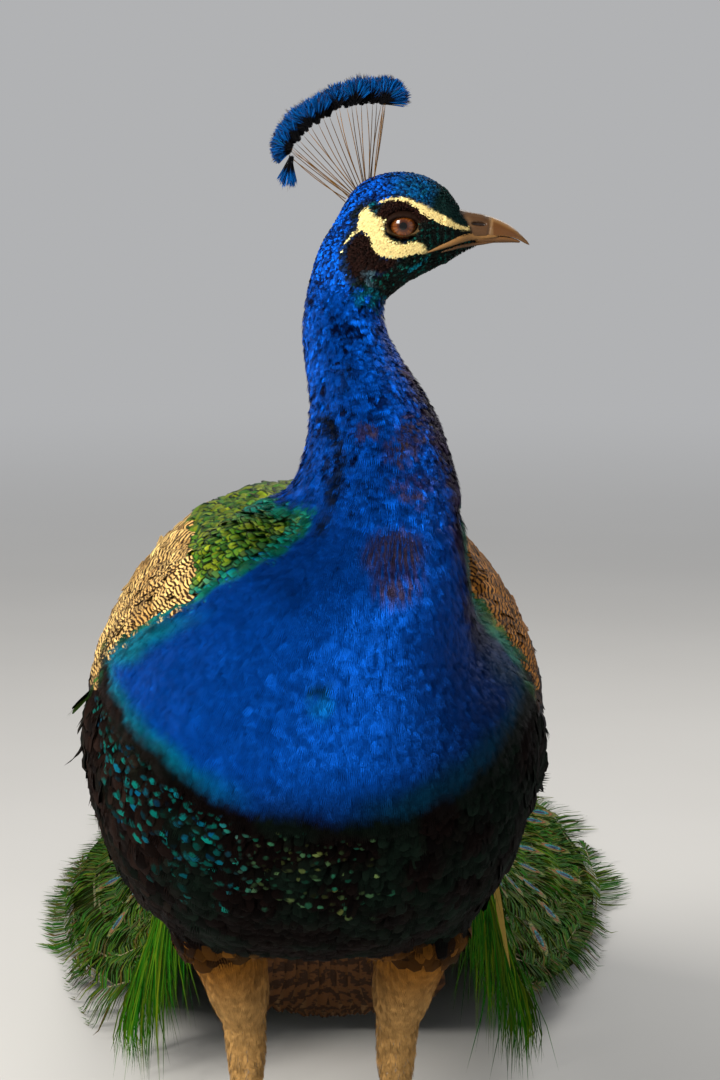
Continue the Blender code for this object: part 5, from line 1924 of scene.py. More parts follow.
    def corners(self, mandibles: list[Piece]) -> None:
        """The lips: on each side two tapering rolls from the bill's base back towards the corner of the mouth."""
        surface = joined(joined(self.surface, Surface(mandibles[0])), Surface(mandibles[1]))
        ring = 8
        turns = np.linspace(0, 2 * math.pi, ring, endpoint=False)
        points, tones, quads = [], [], []
        for side in (-1, 1):
            for table, tone in ((self.upper_lip, (0.2, 0.095, 0.024)), (self.lower_lip, (0.09, 0.038, 0.01))):
                course = smooth_line(table, np.linspace(0, 1, 30))
                first = sum(len(p) for p in points)
                outs = self.outs(course, side, surface)
                for n, (forward, up, tall) in enumerate(course):
                    thick = min(tall, 0.0011)
                    loop = np.stack((turns * 0, np.sin(turns) * thick, np.cos(turns) * tall), axis=1)
                    points.append(EYE + np.array((forward, side * (outs[n] + 0.0003), up)) + loop)
                    # Painted light and shade: each roll is lighter on top and darker underneath.
                    tones.append(np.tile(tone, (ring, 1)) * (0.82 + 0.18 * np.cos(turns))[:, None])
                    if n:
                        low = first + (n - 1) * ring
                        quads += [
                            (
                                low + k, low + (k + 1) % ring, low + ring + (k + 1) % ring, low + ring + k
                            ) for k in range(ring)
                        ]
        piece = make_piece("mouth_corners", np.concatenate(points), np.array(quads))
        tidy_shell(piece)
        set_attribute(piece, "tone", np.concatenate(tones))
        dress(piece, Horn("lip_skin", roughness=0.5, grain=1400.0, depth=0.0002, coat=0.1), "horn")


def tidy_shell(piece: Piece) -> None:
    """Closes a shell's open ends and turns its faces outwards."""
    alone(piece)
    bpy.ops.object.mode_set(mode="EDIT")
    bpy.ops.mesh.select_all(action="DESELECT")
    bpy.ops.mesh.select_mode(type="EDGE")
    bpy.ops.mesh.select_non_manifold(
        extend=False, use_wire=False, use_multi_face=False, use_non_contiguous=False, use_verts=False
    )
    bpy.ops.mesh.fill_holes(sides=0)
    bpy.ops.mesh.select_all(action="SELECT")
    bpy.ops.mesh.normals_make_consistent(inside=False)
    bpy.ops.object.mode_set(mode="OBJECT")


# --- strips: shafts and barbs ---
@dataclass
class Strips:
    """Thin strips gathered into one piece: shafts, barbs and small discs."""

    points: list[Array] = field(default_factory=list)
    quads: list[Array] = field(default_factory=list)
    triangles: list[Array] = field(default_factory=list)
    tones: list[Array] = field(default_factory=list)
    vanes: list[Array] = field(default_factory=list)
    places: list[Array] = field(default_factory=list)
    total: int = 0

    def add(self, points: Array, quads: Array, triangles: Array, tones: Array, vanes: Array, places: Array) -> None:
        """Adds a batch of points with its faces, colours, own coordinates and places on the unwrap."""
        self.points.append(points)
        self.quads.append(quads + self.total)
        self.triangles.append(triangles + self.total)
        self.tones.append(tones)
        self.vanes.append(vanes)
        self.places.append(places)
        self.total += len(points)

    def strips(
        self, lines: Array, beside: Array, widths: Array, tones: Array, places: Array, taper: Sequence[float]
    ) -> None:
        """Adds flat strips of one length of line each, which end in a point.

        Args:
            lines: Count by step by three: each strip's middle line.
            beside: Count by step by three: the way across it.
            widths: Each strip's full width.
            tones: Each strip's colour.
            places: Each strip's place on the unwrap.
            taper: The share of the width at each step but the last.
        """
        count, steps = lines.shape[:2]
        half = widths[:, None, None] / 2 * np.array(taper)[None, :, None]
        left, right = lines[:, :-1] - beside[:, :-1] * half, lines[:, :-1] + beside[:, :-1] * half
        pairs = np.stack((left, right), axis=2).reshape(count, -1, 3)
        points = np.concatenate((pairs, lines[:, -1:]), axis=1)
        each = points.shape[1]
        base = (np.arange(count) * each)[:, None, None]
        ladder = np.array([(2 * k, 2 * k + 1, 2 * k + 3, 2 * k + 2) for k in range(steps - 2)], int).reshape(1, -1, 4)
        tip = np.array([[(2 * steps - 4, 2 * steps - 3, 2 * steps - 2)]], int)
        share = np.append(np.repeat(np.linspace(0, 1, steps)[:-1], 2), 1.0)
        sway = np.append(np.tile((0.0, 1.0), steps - 1), 0.5)
        vane = np.stack((share, sway, np.zeros(each)), axis=1)
        patch = np.stack((share - 0.5, sway - 0.5), axis=1) * PATCH
        # Painted shade and light: each strip is darker at its root and brighter towards its end.
        light = 0.72 + 0.42 * share
        self.add(
            points.reshape(-1, 3), (ladder + base).reshape(-1, 4), (tip + base).reshape(-1, 3),
            (tones[:, None] * light[None, :, None]).reshape(-1, 3), np.tile(vane, (count, 1)),
            (places[:, None] + patch[None]).reshape(-1, 2),
        )

    def piece(self, name: str, finish: Finish, slot: str) -> Piece:
        """Joins what was added into one piece and dresses it."""
        quads = np.concatenate([q.reshape(-1, 4) for q in self.quads])
        triangles = np.concatenate([t.reshape(-1, 3) for t in self.triangles])
        made = make_piece(name, np.concatenate(self.points), quads, triangles)
        tones, vanes, places = (np.concatenate(some) for some in (self.tones, self.vanes, self.places))
        mark(made, tones.clip(0, 1), vanes, places.clip(0.001, 0.999))
        return dress(made, finish, slot)


@dataclass
class Crest:
    """The fan of thin shafts on the crown, each with a brush of blue at its end."""

    # From the front back, in metres ahead of the eye and above it: each plume's root, its shaft's end and its edge.
    stations: tuple[tuple[float, ...], ...] = (
        (-0.0172, 0.027, -0.0096, 0.0722, 0.0034, 0.0812), (-0.0186, 0.027, -0.012, 0.0736, -0.005, 0.0872),
        (-0.0212, 0.0265, -0.0226, 0.073, -0.02, 0.0878), (-0.0236, 0.0256, -0.034, 0.0706, -0.036, 0.085),
        (-0.0262, 0.024, -0.047, 0.0646, -0.052, 0.079), (-0.0286, 0.022, -0.059, 0.0546, -0.069, 0.0672),
        (-0.0308, 0.02, -0.067, 0.0476, -0.078, 0.053), (-0.0328, 0.018, -0.069, 0.042, -0.0786, 0.042),
    )
    count: int = 27
    barbs: int = 250
    wisp_count: int = 22
    fan_angle: float = 42.0  # of the brush to each side, in degrees
    seed: int = 303

    def build(self) -> Piece:
        """Makes the fan, and the one feather that hangs apart behind it."""
        random = np.random.default_rng(self.seed)
        strips = Strips()
        for share in np.linspace(0, 1, self.count):
            spot = smooth_line(self.stations, np.array((share,)))[0].reshape(3, 2)
            self.plume(strips, float(share), spot + random.normal(0, 0.0006, (3, 2)), 1.0, random)
        low = np.array(((-0.034, 0.0165), (-0.066, 0.0392), (-0.069, 0.02)))
        self.plume(strips, 1.0, low, 0.42, random)
        made = strips.piece(
            "crest_fan", Plumage("crest_feathers", roughness=0.5, metallic=0.25, specular=0.06), "crest_plumes"
        )
        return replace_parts(made, "crest")

    def plume(self, strips: Strips, share: float, spot: Array, size: float, random: Chance) -> None:
        """One plume.

        Args:
            strips: What it joins.
            share: Its place in the fan, from 0 in front to 1 behind.
            spot: Its root, its shaft's end and its edge, each ahead of the eye and above it.
            size: How wide its brush is.
            random: The source of chance.
        """
        sway = random.normal(0, 0.0025)
        root, end, edge = (head_point(*at, sway * lean) for at, lean in zip(spot, (0.6, 1.0, 1.2)))
        root = root + (0.0, random.normal(0, 0.0016), -0.003)
        steps = np.linspace(0, 1, 7)
        bend = unit(np.cross(end - root, (0.0, 1.0, 0.0)))
        line = root + (end - root) * steps[:, None] + bend * (
            random.normal(0.0006, 0.0008) * np.sin(steps * math.pi)
        )[:, None]
        place = np.array((0.05 + 0.9 * share, 0.5))
        tone = np.array(((0.24, 0.12, 0.03),)) * random.uniform(0.4, 1.2)
        for way in (np.array((0.0, 1.0, 0.0)), bend):
            strips.strips(
                line[None], np.tile(way, (1, 7, 1)), np.array((0.0006,)), tone, place[None],
                (1.0, 0.9, 0.85, 0.8, 0.75, 0.7)
            )
        self.wisps(strips, line, unit(end - root), place, random)
        self.tip(strips, line[-1], edge - line[-1], place, random, size)

    def wisps(self, strips: Strips, line: Array, ahead: Array, place: Array, random: Chance) -> None:
        """Sparse short barbs along a shaft."""
        count = self.wisp_count
        start = smooth_line(line, random.uniform(0.1, 1.0, count))
        across = np.cross(ahead, (0.0, 1.0, 0.0)) * np.where(random.random(count) < 0.5, -1, 1)[:, None]
        way = unit(across + ahead * 1.8 + random.normal(0, 0.3, (count, 3)))
        length = random.uniform(0.0012, 0.0034, count)[:, None]
        lines = np.stack((start, start + way * length * 0.6, start + way * length), axis=1)
        beside = np.tile((0.0, 1.0, 0.0), (count, 3, 1))
        tones = np.tile((0.07, 0.04, 0.015), (count, 1))
        strips.strips(lines, beside, np.full(count, 0.00022), tones, np.tile(place, (count, 1)), (1.0, 0.6))

    def tip(self, strips: Strips, root: Array, reach: Array, place: Array, random: Chance, size: float) -> None:
        """The brush at a shaft's end: black barbs within, blue beyond them and a thin brown fringe."""
        count = int(self.barbs * size)
        full = float(np.linalg.norm(reach)) - 0.0012
        ahead = unit(reach)
        side, flat = unit(np.cross(ahead, (0.0, 1.0, 0.0))), np.array((0.0, 1.0, 0.0))
        spread = np.sign(random.uniform(-1, 1, count)) * random.random(count) ** 0.8
        fan = np.radians(spread * self.fan_angle * (0.05 + 0.95 * size))
        start = root + ahead * (
            random.uniform(-0.0026, 0.0012, count) * np.sqrt(size)
        )[:, None] + side * random.normal(0, 0.0006, count)[:, None]
        way = unit(
            ahead * np.cos(fan)[:, None] + side * np.sin(fan)[:, None] + flat * random.normal(0, 0.15, count)[:, None]
        )
        length = full * random.uniform(0.91, 1.0, count) * (1 - 0.16 * spread**2)
        fringe = random.random(count) < 0.2
        length = (length * np.where(fringe, 1.1, 1.0))[:, None]
        shares = (0.0, 0.46, 0.6, 0.9, 1.0)
        lines = np.stack(
            [start + way * length * s + side * (spread * 0.001)[:, None] * s * s for s in shares], axis=1
        )
        turn = random.uniform(-0.9, 0.9, count)[:, None]
        beside = unit(unit(np.cross(way, flat)) * np.cos(turn) + flat * np.sin(turn))
        beside = np.repeat(beside[:, None], len(shares), axis=1)
        first = strips.total
        patch = soft(random.normal(0, 0.4) + random.normal(0, 0.3, count), 0.75, 0.6)
        blue = blend((0.0004, 0.082, 0.33), (0.0007, 0.11, 0.22), patch)
        blue *= random.uniform(0.25, 1.6, count)[:, None] * (1 - 0.3 * spread**2)[:, None]
        widths = random.uniform(0.00036, 0.00066, count) * np.where(fringe, 0.35, 1.0)
        strips.strips(lines, beside, widths, blue, np.tile(place, (count, 1)), (0.6, 1.0, 1.0, 0.95))
        each = (strips.total - first) // count
        tones = strips.tones[-1].reshape(count, each, 3)
        tones[:, :4] = (0.003, 0.003, 0.004)
        tones[fringe, 6:] = (0.05, 0.028, 0.012)


# --- wings' flight feathers and tail ---
@dataclass
class FlightFeathers:
    """The long feathers of the folded wings, over the wings' thin ends."""

    voxel: float = 0.0024
    seed: int = 401
    # The dark coverts and secondaries, the chestnut primaries under them and the brown tertials over the wing's
    # end. Each row has their number; how far back, how high and how long the first is, each with the change to the
    # last; and their width, rise and colour.
    groups: tuple[tuple, ...] = (
        (11, (0.16, 0.02), (0.408, -0.08), (0.09, 0.055), 0.024, 0.0052, (0.006, 0.012, 0.016)),
        (9, (0.135, 0.08), (0.33, 0.022), (0.185, -0.018), 0.018, 0.0044, (0.15, 0.055, 0.015)),
        (9, (0.2, -0.06), (0.41, -0.06), (0.165, 0.04), 0.024, 0.0066, (0.11, 0.062, 0.024)),
    )

    def build(self) -> None:
        """Makes each wing's end and its feathers."""
        for name, side in (("left", 1), ("right", -1)):
            end = rounded_copy(f"wing_tip_{name}", name=f"wing_end_{name}", voxel=self.voxel, rounds=16)
            points, normals = points_of(end), normals_of(end)
            move_points(end, points - normals * (self.depth(points) + 0.0008)[:, None])
            end.data.shade_smooth()
            y, z = points[:, 1], points[:, 2]
            tones = np.tile((0.022, 0.012, 0.007), (len(points), 1))
            vanes = np.stack((y, (z + y * 0.45) * 6, y * 0), axis=1)
            mark(end, tones, vanes, points[:, 1:].clip(0.01, 0.99))
            dress(end, DOWN, "flight_feathers")
            grown = growing_surface(f"wing_{name}", f"wing_tip_{name}", voxel=0.003, depth=self.depth)
            self.feathers(name, side, grown)
        self.strays()

    def depth(self, points: Array) -> Array:
        """How deep the wings' ends lie under their feathers."""
        return np.interp(points[:, 1], (0.2, 0.26, 0.33, 0.395), (0.008, 0.006, 0.003, 0.001))

    def strays(self) -> None:
        """Two feathers out of place: a dark one at the right wing's bend and a pale quill under the left wing."""
        strips = Strips()
        dark = (
            (-0.137, 0.03, 0.372), (-0.1425, 0.037, 0.356), (-0.149, 0.044, 0.342), (-0.157, 0.052, 0.331),
            (-0.1655, 0.06, 0.3235)
        )
        pale = (
            (0.116, 0.27, 0.235), (0.12, 0.29, 0.2), (0.126, 0.31, 0.165), (0.131, 0.325, 0.135),
            (0.1355, 0.333, 0.113)
        )
        for line, way, width, tone in (
            (dark, (0.7, 0.35, 0.62), 0.015, (0.007, 0.003, 0.002)),
            (dark, (0.35, 0.93, 0.1), 0.015, (0.02, 0.009, 0.004)), (pale, (1.0, 0.0, 0.3), 0.005, (0.3, 0.2, 0.04)),
        ):
            beside = np.tile(unit(np.array(way)), (1, 5, 1))
            strips.strips(
                np.array((line,)), beside, np.array((width,)), np.array((tone,)), np.array(((0.5, 0.5),)),
                (0.6, 1.0, 0.95, 0.6)
            )
        strips.piece(
            "stray_feathers", Plumage("strays", roughness=0.6, metallic=0.0, specular=0.1, barbs=14.0),
            "flight_feathers"
        )

    def feathers(self, name: str, side: int, surface: Surface) -> None:
        """One wing's dark secondaries and chestnut primaries.

        Args:
            name: Left or right.
            side: 1 for the left.
            surface: What they grow on.
        """
        random = np.random.default_rng(self.seed + side)
        rows = []
        for total, *courses, width, height, tone in self.groups:
            for n in range(total):
                y, z, length = (start + change * (n / (total - 1)) for start, change in courses)
                rows.append((y, z, length, width, height, *tone))
        table = np.array(sorted(rows, key=lambda row: -row[1] - row[0]))
        y, z, lengths, widths, heights = table[:, :5].T
        count = len(table)
        roots, normals = surface.nearest(np.stack((np.full(count, side * 0.16 - 0.003), y, z), axis=1))
        targets = np.stack((y * 0, 0.42 - y, 0.284 - z), axis=1)
        tones = table[:, 5:] * random.uniform(0.5, 1.35, count)[:, None]
        spots = np.column_stack((tones * 0.35, np.full(count, 0.6)))
        spots[6:, 3] = 0.85
        chance = random.normal(0, 0.05, count)
        growth = Growth(roots, normals, targets, lengths, widths, heights, tones, spots, chance)
        vane = Vane.scale(
            (0.35, 0.72, 0.9, 1.0, 1.0, 1.0, 0.98, 0.92, 0.78, 0.52),
            (0.0, 0.1, 0.22, 0.34, 0.46, 0.58, 0.7, 0.82, 0.91, 0.97), crown=0.16,
        )
        piece = grow(f"flight_feathers_{name}", surface, vane, growth, shade=(0.45, 1.2), drift=1.0)
        finish = Plumage(
            "flight_vanes", Pattern.BARRED, roughness=0.45, metallic=0.15, specular=0.3, barbs=60.0, bars=520.0
        )
        dress(piece, finish, "flight_feathers")


@dataclass
class Tail:
    """The closed fan of stiff brown feathers under the train."""

    count: int = 18
    root_y: float = 0.262
    end_y: float = 0.54
    width: float = 0.03
    rows: int = 14
    seed: int = 501

    def spread(self, y: Array) -> tuple[Array, Array, Array]:
        """The height of the fan's middle and edges and half its width at places along it."""
        stations = (0.258, 0.318, 0.39, 0.46, 0.515, 0.545)
        return (
            np.interp(y, stations, (0.3, 0.24, 0.164, 0.09, 0.036, 0.013)),
            np.interp(y, stations, (0.296, 0.232, 0.15, 0.072, 0.022, 0.008)),
            np.interp(y, stations, (0.03, 0.05, 0.072, 0.09, 0.084, 0.056)),
        )

    def build(self) -> Piece:
        """Makes the fan."""
        strips = Strips()
        random = np.random.default_rng(self.seed)
        for n in range(self.count):
            v = 2 * (n + 0.5) / self.count - 1
            end = self.end_y - 0.06 * abs(v) ** 2.0 - 0.004 * random.random()
            t = np.linspace(0, 1, self.rows)
            y = self.root_y + (end - self.root_y) * t
            crown, edge, half = self.spread(y)
            middle = v * half * np.interp(t, (0, 0.8, 1.0), (0.86, 0.88, 0.98))
            width = self.width / 2 * np.interp(
                t, (0.0, 0.12, 0.5, 0.86, 0.96, 1.0), (0.35, 0.7, 0.95, 1.0, 0.66, 0.12)
            )
            layer = 0.001 * (self.count / 2 - abs(n + 0.5 - self.count / 2)) / 3
            points, vanes, tones = [], [], []
            for offset in (-1.0, -0.5, 0.0, 0.5, 1.0):
                x = middle + offset * width
                z = edge + (crown - edge) * np.clip(1 - np.abs(v) ** 2.2, 0, 1) - 0.0015 + layer - 0.001 * abs(offset)
                points.append(np.stack((x, y, z), axis=1))
                vanes.append(
                    np.stack((t, np.full(self.rows, offset / 2 + 0.5), np.full(self.rows, end - self.root_y)), axis=1)
                )
                tone = (0.16, 0.085, 0.034) if abs(offset) < 0.1 else (0.088, 0.034, 0.009)
                tones.append(np.tile(tone, (self.rows, 1)))
            order = np.arange(5 * self.rows).reshape(5, self.rows)
            quads = np.stack((order[:-1, :-1], order[1:, :-1], order[1:, 1:], order[:-1, 1:]), axis=-1).reshape(-1, 4)
            place = np.array((0.03 + 0.94 * (n + 0.5) / self.count, 0.5))
            vane = np.concatenate(vanes)
            spread = place + (vane[:, :2] - 0.5) * (0.045, 0.9)
            strips.add(np.concatenate(points), quads, np.zeros((0, 3), int), np.concatenate(tones), vane, spread)
        finish = Plumage(
            "tail_vanes", Pattern.BARRED, roughness=0.65, metallic=0.0, specular=0.1, barbs=50.0, bars=330.0,
            slant=5.0
        )
        made = strips.piece("tail_fan", finish, "tail_feathers")
        spots = np.zeros((len(made.data.vertices), 4), np.float32)
        spots[:] = (0.016, 0.006, 0.002, 0.85)
        made.data.attributes["spot"].data.foreach_set("color", spots.ravel())
        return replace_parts(made, "tail")


# --- the train ---
@dataclass(frozen=True)
class Ocellus(Finish):
    """The eye at a plume's end: rings of bronze, gold, copper and turquoise round a dark heart."""

    name: str = "plume_eyes"

    def paint(self) -> bpy.types.Material:
        """Rings by the disc's own coordinates, with fine barbs that fan out from its base."""
        board = Board(self.name)
        vane = board.attribute("vane").outputs["Color"]
        ahead = board.axis(vane, "X") * 2.0 - 1.0
        beside = board.axis(vane, "Y") * 2.0 - 1.0
        reach = (ahead * ahead + beside * beside).power(0.5)
        heart = ((ahead + 0.16) * (ahead + 0.16) * 1.25 + beside * beside).power(0.5) - abs(beside) * 0.22
        notch = (abs(beside) * 1.6 + (ahead + 0.52) * 1.0).step(0.1, 0.22)
        colour = board.mix(reach.step(0.93, 0.87), (0.06, 0.11, 0.012), (0.2, 0.19, 0.02))
        colour = board.mix(reach.step(0.82, 0.77), colour, (0.06, 0.12, 0.015))
        colour = board.mix(reach.step(0.74, 0.69), colour, (0.23, 0.085, 0.014))
        colour = board.mix(reach.step(0.52, 0.46), colour, (0.002, 0.2, 0.23))
        share = heart.step(0.25, 0.18) * notch
        colour = board.mix(share, colour, (0.008, 0.004, 0.07))
        streaks = (board.maths("ARCTAN2", beside, ahead + 1.6) * 70.0).sine()
        colour = board.mix(1.0, colour, board.grey(0.86 + streaks * 0.22), "MULTIPLY")
        board.bump(streaks, 0.0003, 0.6)
        return board.set(Base_Color=colour, Roughness=0.5, Metallic=0.3, Specular_IOR_Level=0.06)


@dataclass
class Train:
    """About 150 long plumes with loose barbs, most of them with an eye at the end."""

    first_row: float = 0.235  # where the ends of the first row of plumes lie, and of the last
    last_row: float = 1.6
    web_start: float = 0.15
    web_end: float = 1.615
    plume_start: float = 0.16  # ahead of which no shaft reaches
    plume_length: float = 0.42
    barb_reach: float = 0.25  # how much of a plume, from its end, has loose barbs
    barb_gap: float = 0.0031
    barb_length: float = 0.05
    hanging_count: int = 640
    eye_size: tuple[float, float] = (0.0225, 0.0185)  # half its length and half its width
    eye_lift: float = 0.0036
    sheet_across: int = 40
    sheet_along: int = 110
    seed: int = 601

    def sizes(self, y: Array) -> tuple[Array, Array, Array]:
        """The height of the train's crown and edges and half its width at places along it."""
        return tuple(np.interp(y, TRAIN[:, 0], TRAIN[:, k]) for k in (1, 2, 3))

    def point(self, y: Array, v: Array, lift: Array | float = 0.0) -> Array:
        """A place on the train.

        Args:
            y: How far back.
            v: How far across, from -1 on the bird's right to 1 on its left, or a little beyond.
            lift: How far above its surface.

        Returns:
            The places.
        """
        crown, edge, half = self.sizes(y)
        bend = np.abs(v) ** TRAIN_ARCH
        rise = crown - edge
        z = edge + rise * (1 - bend)
        slope = -rise * TRAIN_ARCH * np.abs(v) ** (TRAIN_ARCH - 1) * np.sign(v) / half
        out = np.stack((-slope, np.zeros_like(slope), np.ones_like(slope)), axis=-1)
        out /= np.linalg.norm(out, axis=-1, keepdims=True)
        base = np.stack((half * v, y, np.maximum(z, 0.003)), axis=-1)
        made = base + out * np.asarray(lift)[..., None]
        made[..., 2] = np.maximum(made[..., 2], 0.0012)
        return made

    def outward(self, y: Array, v: Array) -> Array:
        """The way out of the train's surface."""
        step = 1e-3
        ahead = self.point(y + step, v) - self.point(y - step, v)
        beside = self.point(y, v + step) - self.point(y, v - step)
        return unit(np.cross(beside, ahead))

    def build(self) -> None:
        """Makes the sheet under the plumes, the plumes and their eyes."""
        self.sheet()
        self.plumes()

    def sheet(self) -> None:
        """The dense webs at the plumes' roots, as one thin sheet."""
        bpy.ops.object.select_all(action="DESELECT")
        bpy.ops.mesh.primitive_grid_add(x_subdivisions=self.sheet_across, y_subdivisions=self.sheet_along, size=2)
        piece = bpy.context.object
        piece.name = piece.data.name = "train_web"
        local = points_of(piece) + SHIFT
        v, t = local[:, 0] * 0.965, (local[:, 1] + 1) / 2
        y = self.web_start + (self.web_end - self.web_start) * t
        ragged = ripple(np.stack((v * 0.2, t * 0, t * 0), axis=1), 0.02, 5) * 0.01 * soft(t, 0.98, 0.04)
        depth = np.interp(y, (0.15, 0.3, 0.6, 1.0, 1.6), (0.01, 0.008, 0.0055, 0.0045, 0.0035))
        points = self.point(y + ragged, v, -depth)
        points[:, 2] = np.maximum(points[:, 2], 0.0025)
        move_points(piece, points)
        apply(piece, "SOLIDIFY", thickness=0.0016, offset=-1.0)
        points = points_of(piece)
        points[:, 2] = np.maximum(points[:, 2], 0.0006)
        move_points(piece, points)
        piece.data.shade_smooth()
        y = points[:, 1]
        across_share = points[:, 0] / np.maximum(self.sizes(y)[2], 0.01)
        fleck = ripple(points, 0.012, 62)
        tone = blend((0.012, 0.03, 0.006), (0.03, 0.024, 0.01), soft(fleck, 0.2, 1.5))
        places = np.stack((across_share * 0.48 + 0.5, (y - 0.1) / 1.6), axis=1).clip(0.01, 0.99)
        mark(piece, tone, np.stack((y * 4, across_share * 3, y * 0), axis=1), places)
        nodes = ["train_root", "train_end"] + [
            f"train_{row}_{side}" for row in ("upper", "lower") for side in ("left", "middle", "right")
        ]
        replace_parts(piece, *nodes)
        dress(piece, Plumage("plume_web", roughness=0.9, metallic=0.0, specular=0.0, barbs=9.0), "green_plumage")

    def rows(self, random: Chance) -> list[Triple]:
        """Each plume's end and place across the train, and its size."""
        found, y, row = [], self.first_row, 0
        while y < self.last_row:
            line = self.point(np.full(41, y), np.linspace(-1, 1, 41))
            arc = np.linalg.norm(np.diff(line, axis=0), axis=1).sum()
            size = float(np.interp(y, (0.23, 0.45, 0.8, 1.6), (0.42, 0.7, 0.95, 1.0)))
            gap = 0.058 * size + 0.004
            count = max(5 if y > 1.35 else 3, int(arc / gap))
            shift = 0.5 if row % 2 else 0.0
            for k in range(count):
                v = 2 * (k + 0.5 + shift * 0.9 - 0.225) / count - 1
                if abs(v) > 1.0:
                    continue
                v += random.normal(0, 0.25 / count)
                end = y + random.normal(0, 0.012 * size) - 0.035 * abs(v) ** 3 * size
                found.append((end, float(np.clip(v, -0.98, 0.98)), size * random.normal(1, 0.06)))
            y += 0.062 * size + 0.01
            row += 1
        return found

    def plumes(self) -> None:
        """Every plume's shaft, barbs and eye, in pieces for each side of the train."""
        random = np.random.default_rng(self.seed)
        rows = self.rows(random)
        log.info("plumes: %d", len(rows))
        sides = {"left": Strips(), "right": Strips()}
        shafts, eyes = Strips(), Strips()
        for end, v, size in rows:
            start = max(self.plume_start, end - self.plume_length)
            length = end - start
            steps = np.linspace(0, 1, 12)
            y = start + (end - start) * steps
            place = np.array((v * 0.48 + 0.5, (end - 0.1) / 1.6))
            way = v + (steps - 1) * 0.015 * np.sign(v)
            lift = np.interp(steps, (0, 0.5, 1.0), (-0.006, -0.002, 0.0016)) + random.uniform(-0.0008, 0.0008)
            line = self.point(y, way, lift)
            out = self.outward(y, way)
            beside = unit(np.cross(np.gradient(line, axis=0), out))
            shafts.strips(
                line[None], beside[None], np.array((0.0022 * size,)), np.array(((0.3, 0.24, 0.13),)), place[None],
                tuple(np.linspace(1.0, 0.35, 11))
            )
            self.barbs(sides["left" if v > 0 else "right"], end, v, size, length, place, random)
            if abs(v) < 0.8 + 0.12 * random.random() or end > 1.25:
                self.eye(eyes, end, v, size, place)
        for name, side in (("left", 1), ("right", -1)):
            self.hanging(sides[name], side, random)
        for name, strips in sides.items():
            strips.piece(
                f"plume_barbs_{name}", Plumage("plume_barbs", roughness=0.55, metallic=0.3, specular=0.05, barbs=1.0),
                "green_plumage"
            )
        shafts.piece("plume_shafts", Horn("plume_quill", roughness=0.4, coat=0.0), "green_plumage")
        eyes.piece("plume_eyes", Ocellus(), "green_plumage")

    def barbs(
        self, strips: Strips, end: float, v: float, size: float, length: float, place: Array, random: Chance
    ) -> None:
        """The loose barbs on both sides of one plume."""
        reach = min(length, self.barb_reach * (0.5 + 0.5 * size))
        count = int(reach / self.barb_gap)
        arc = self.point(np.full(9, end), np.linspace(v - 0.05, v + 0.05, 9))
        per_v = np.linalg.norm(np.diff(arc, axis=0), axis=1).sum() / 0.1
        for side in (-1, 1):
            t = np.sort(random.random(count))
            at = end - reach + t * reach
            tip = soft(t, 0.93, 0.2)
            long = self.barb_length * size * random.uniform(0.75, 1.1, count) * np.interp(
                t, (0, 0.15, 0.8, 1.0), (0.7, 1.0, 0.85, 0.55)
            )
            angle = np.radians(np.interp(t, (0, 0.7, 0.9, 1.0), (44, 38, 30, 9)) + random.normal(0, 6, count))
            curl = random.normal(0.12, 0.1, count)
            lines = []
            sag = random.uniform(-0.0008, 0.0016, count)
            for share in (0.0, 0.4, 0.75, 1.0):
                along = long * share * np.cos(angle - curl * share)
                beyond = long * share * np.sin(angle - curl * share) * side
                lift = np.interp(share, (0, 0.4, 1.0), (0.001, 0.0028, -0.0006)) + sag * share + 0.001 * tip
                lines.append(self.point(at + along, np.clip(v + beyond / per_v, -1.12, 1.12), lift))
            line = np.stack(lines, axis=1)
            across_v = np.repeat((v + 0 * at)[:, None], 4, axis=1)
            out = self.outward(np.repeat(at[:, None], 4, axis=1), across_v)
            beside = unit(np.cross(np.gradient(line, axis=1), out))
            turn = random.normal(0, 0.5, count)[:, None, None]
            beside = beside * np.cos(turn) + out * np.sin(turn)
            mixed = random.random(count)
            tone = blend((0.014, 0.11, 0.004), (0.11, 0.14, 0.006), mixed**1.8)
            tone = blend(tone, (0.1, 0.045, 0.008), (random.random(count) < 0.12) * 0.8)
            tone *= random.uniform(0.55, 1.35, count)[:, None]
            strips.strips(
                line, beside, random.uniform(0.0011, 0.0018, count) * (0.6 + 0.4 * size), tone,
                np.tile(place, (count, 1)), (1.0, 0.9, 0.6)
            )

    def hanging(self, strips: Strips, side: int, random: Chance) -> None:
        """The long loose barbs that hang from one side of the train just behind the body.

        Args:
            strips: What they join.
            side: 1 for the left.
            random: The source of chance.
        """
        count = self.hanging_count
        clump = np.floor(random.random(count) * 22) / 22
        y = 0.285 + 0.2 * clump + random.normal(0, 0.004, count)
        start = self.point(y, side * random.uniform(0.72, 1.0, count), np.full(count, 0.001))
        length = np.minimum(random.uniform(0.045, 0.15, count), start[:, 2] - 0.004)
        swing = random.normal(0, 0.1, count) + 0.16 * (clump - 0.4)
        drop = np.stack((side * (0.1 + random.normal(0, 0.1, count)), swing, np.full(count, -1.0)), axis=1)
        out = np.array((side, -0.2, 0.0))
        shares = np.array((0.0, 0.3, 0.65, 1.0))
        bow = np.sin(shares * math.pi)[None, :, None] * random.uniform(0.0, 0.008, count)[:, None, None] * out
        lines = start[:, None] + unit(drop)[:, None] * (length[:, None] * shares[None])[..., None] + bow
        lines[..., 2] = np.maximum(lines[..., 2], 0.0025)
        turn = random.uniform(-0.7, 0.7, count)
        beside = np.repeat(np.stack((np.cos(turn), np.sin(turn), turn * 0), axis=1)[:, None], 4, axis=1)
        tone = blend((0.006, 0.085, 0.002), (0.09, 0.13, 0.004), random.random(count) ** 2.2)
        tone *= random.uniform(0.5, 1.5, count)[:, None]
        strips.strips(
            lines, beside, random.uniform(0.0009, 0.0016, count), tone, np.tile((0.5 + 0.45 * side, 0.1), (count, 1)),
            (1.0, 1.0, 0.7)
        )

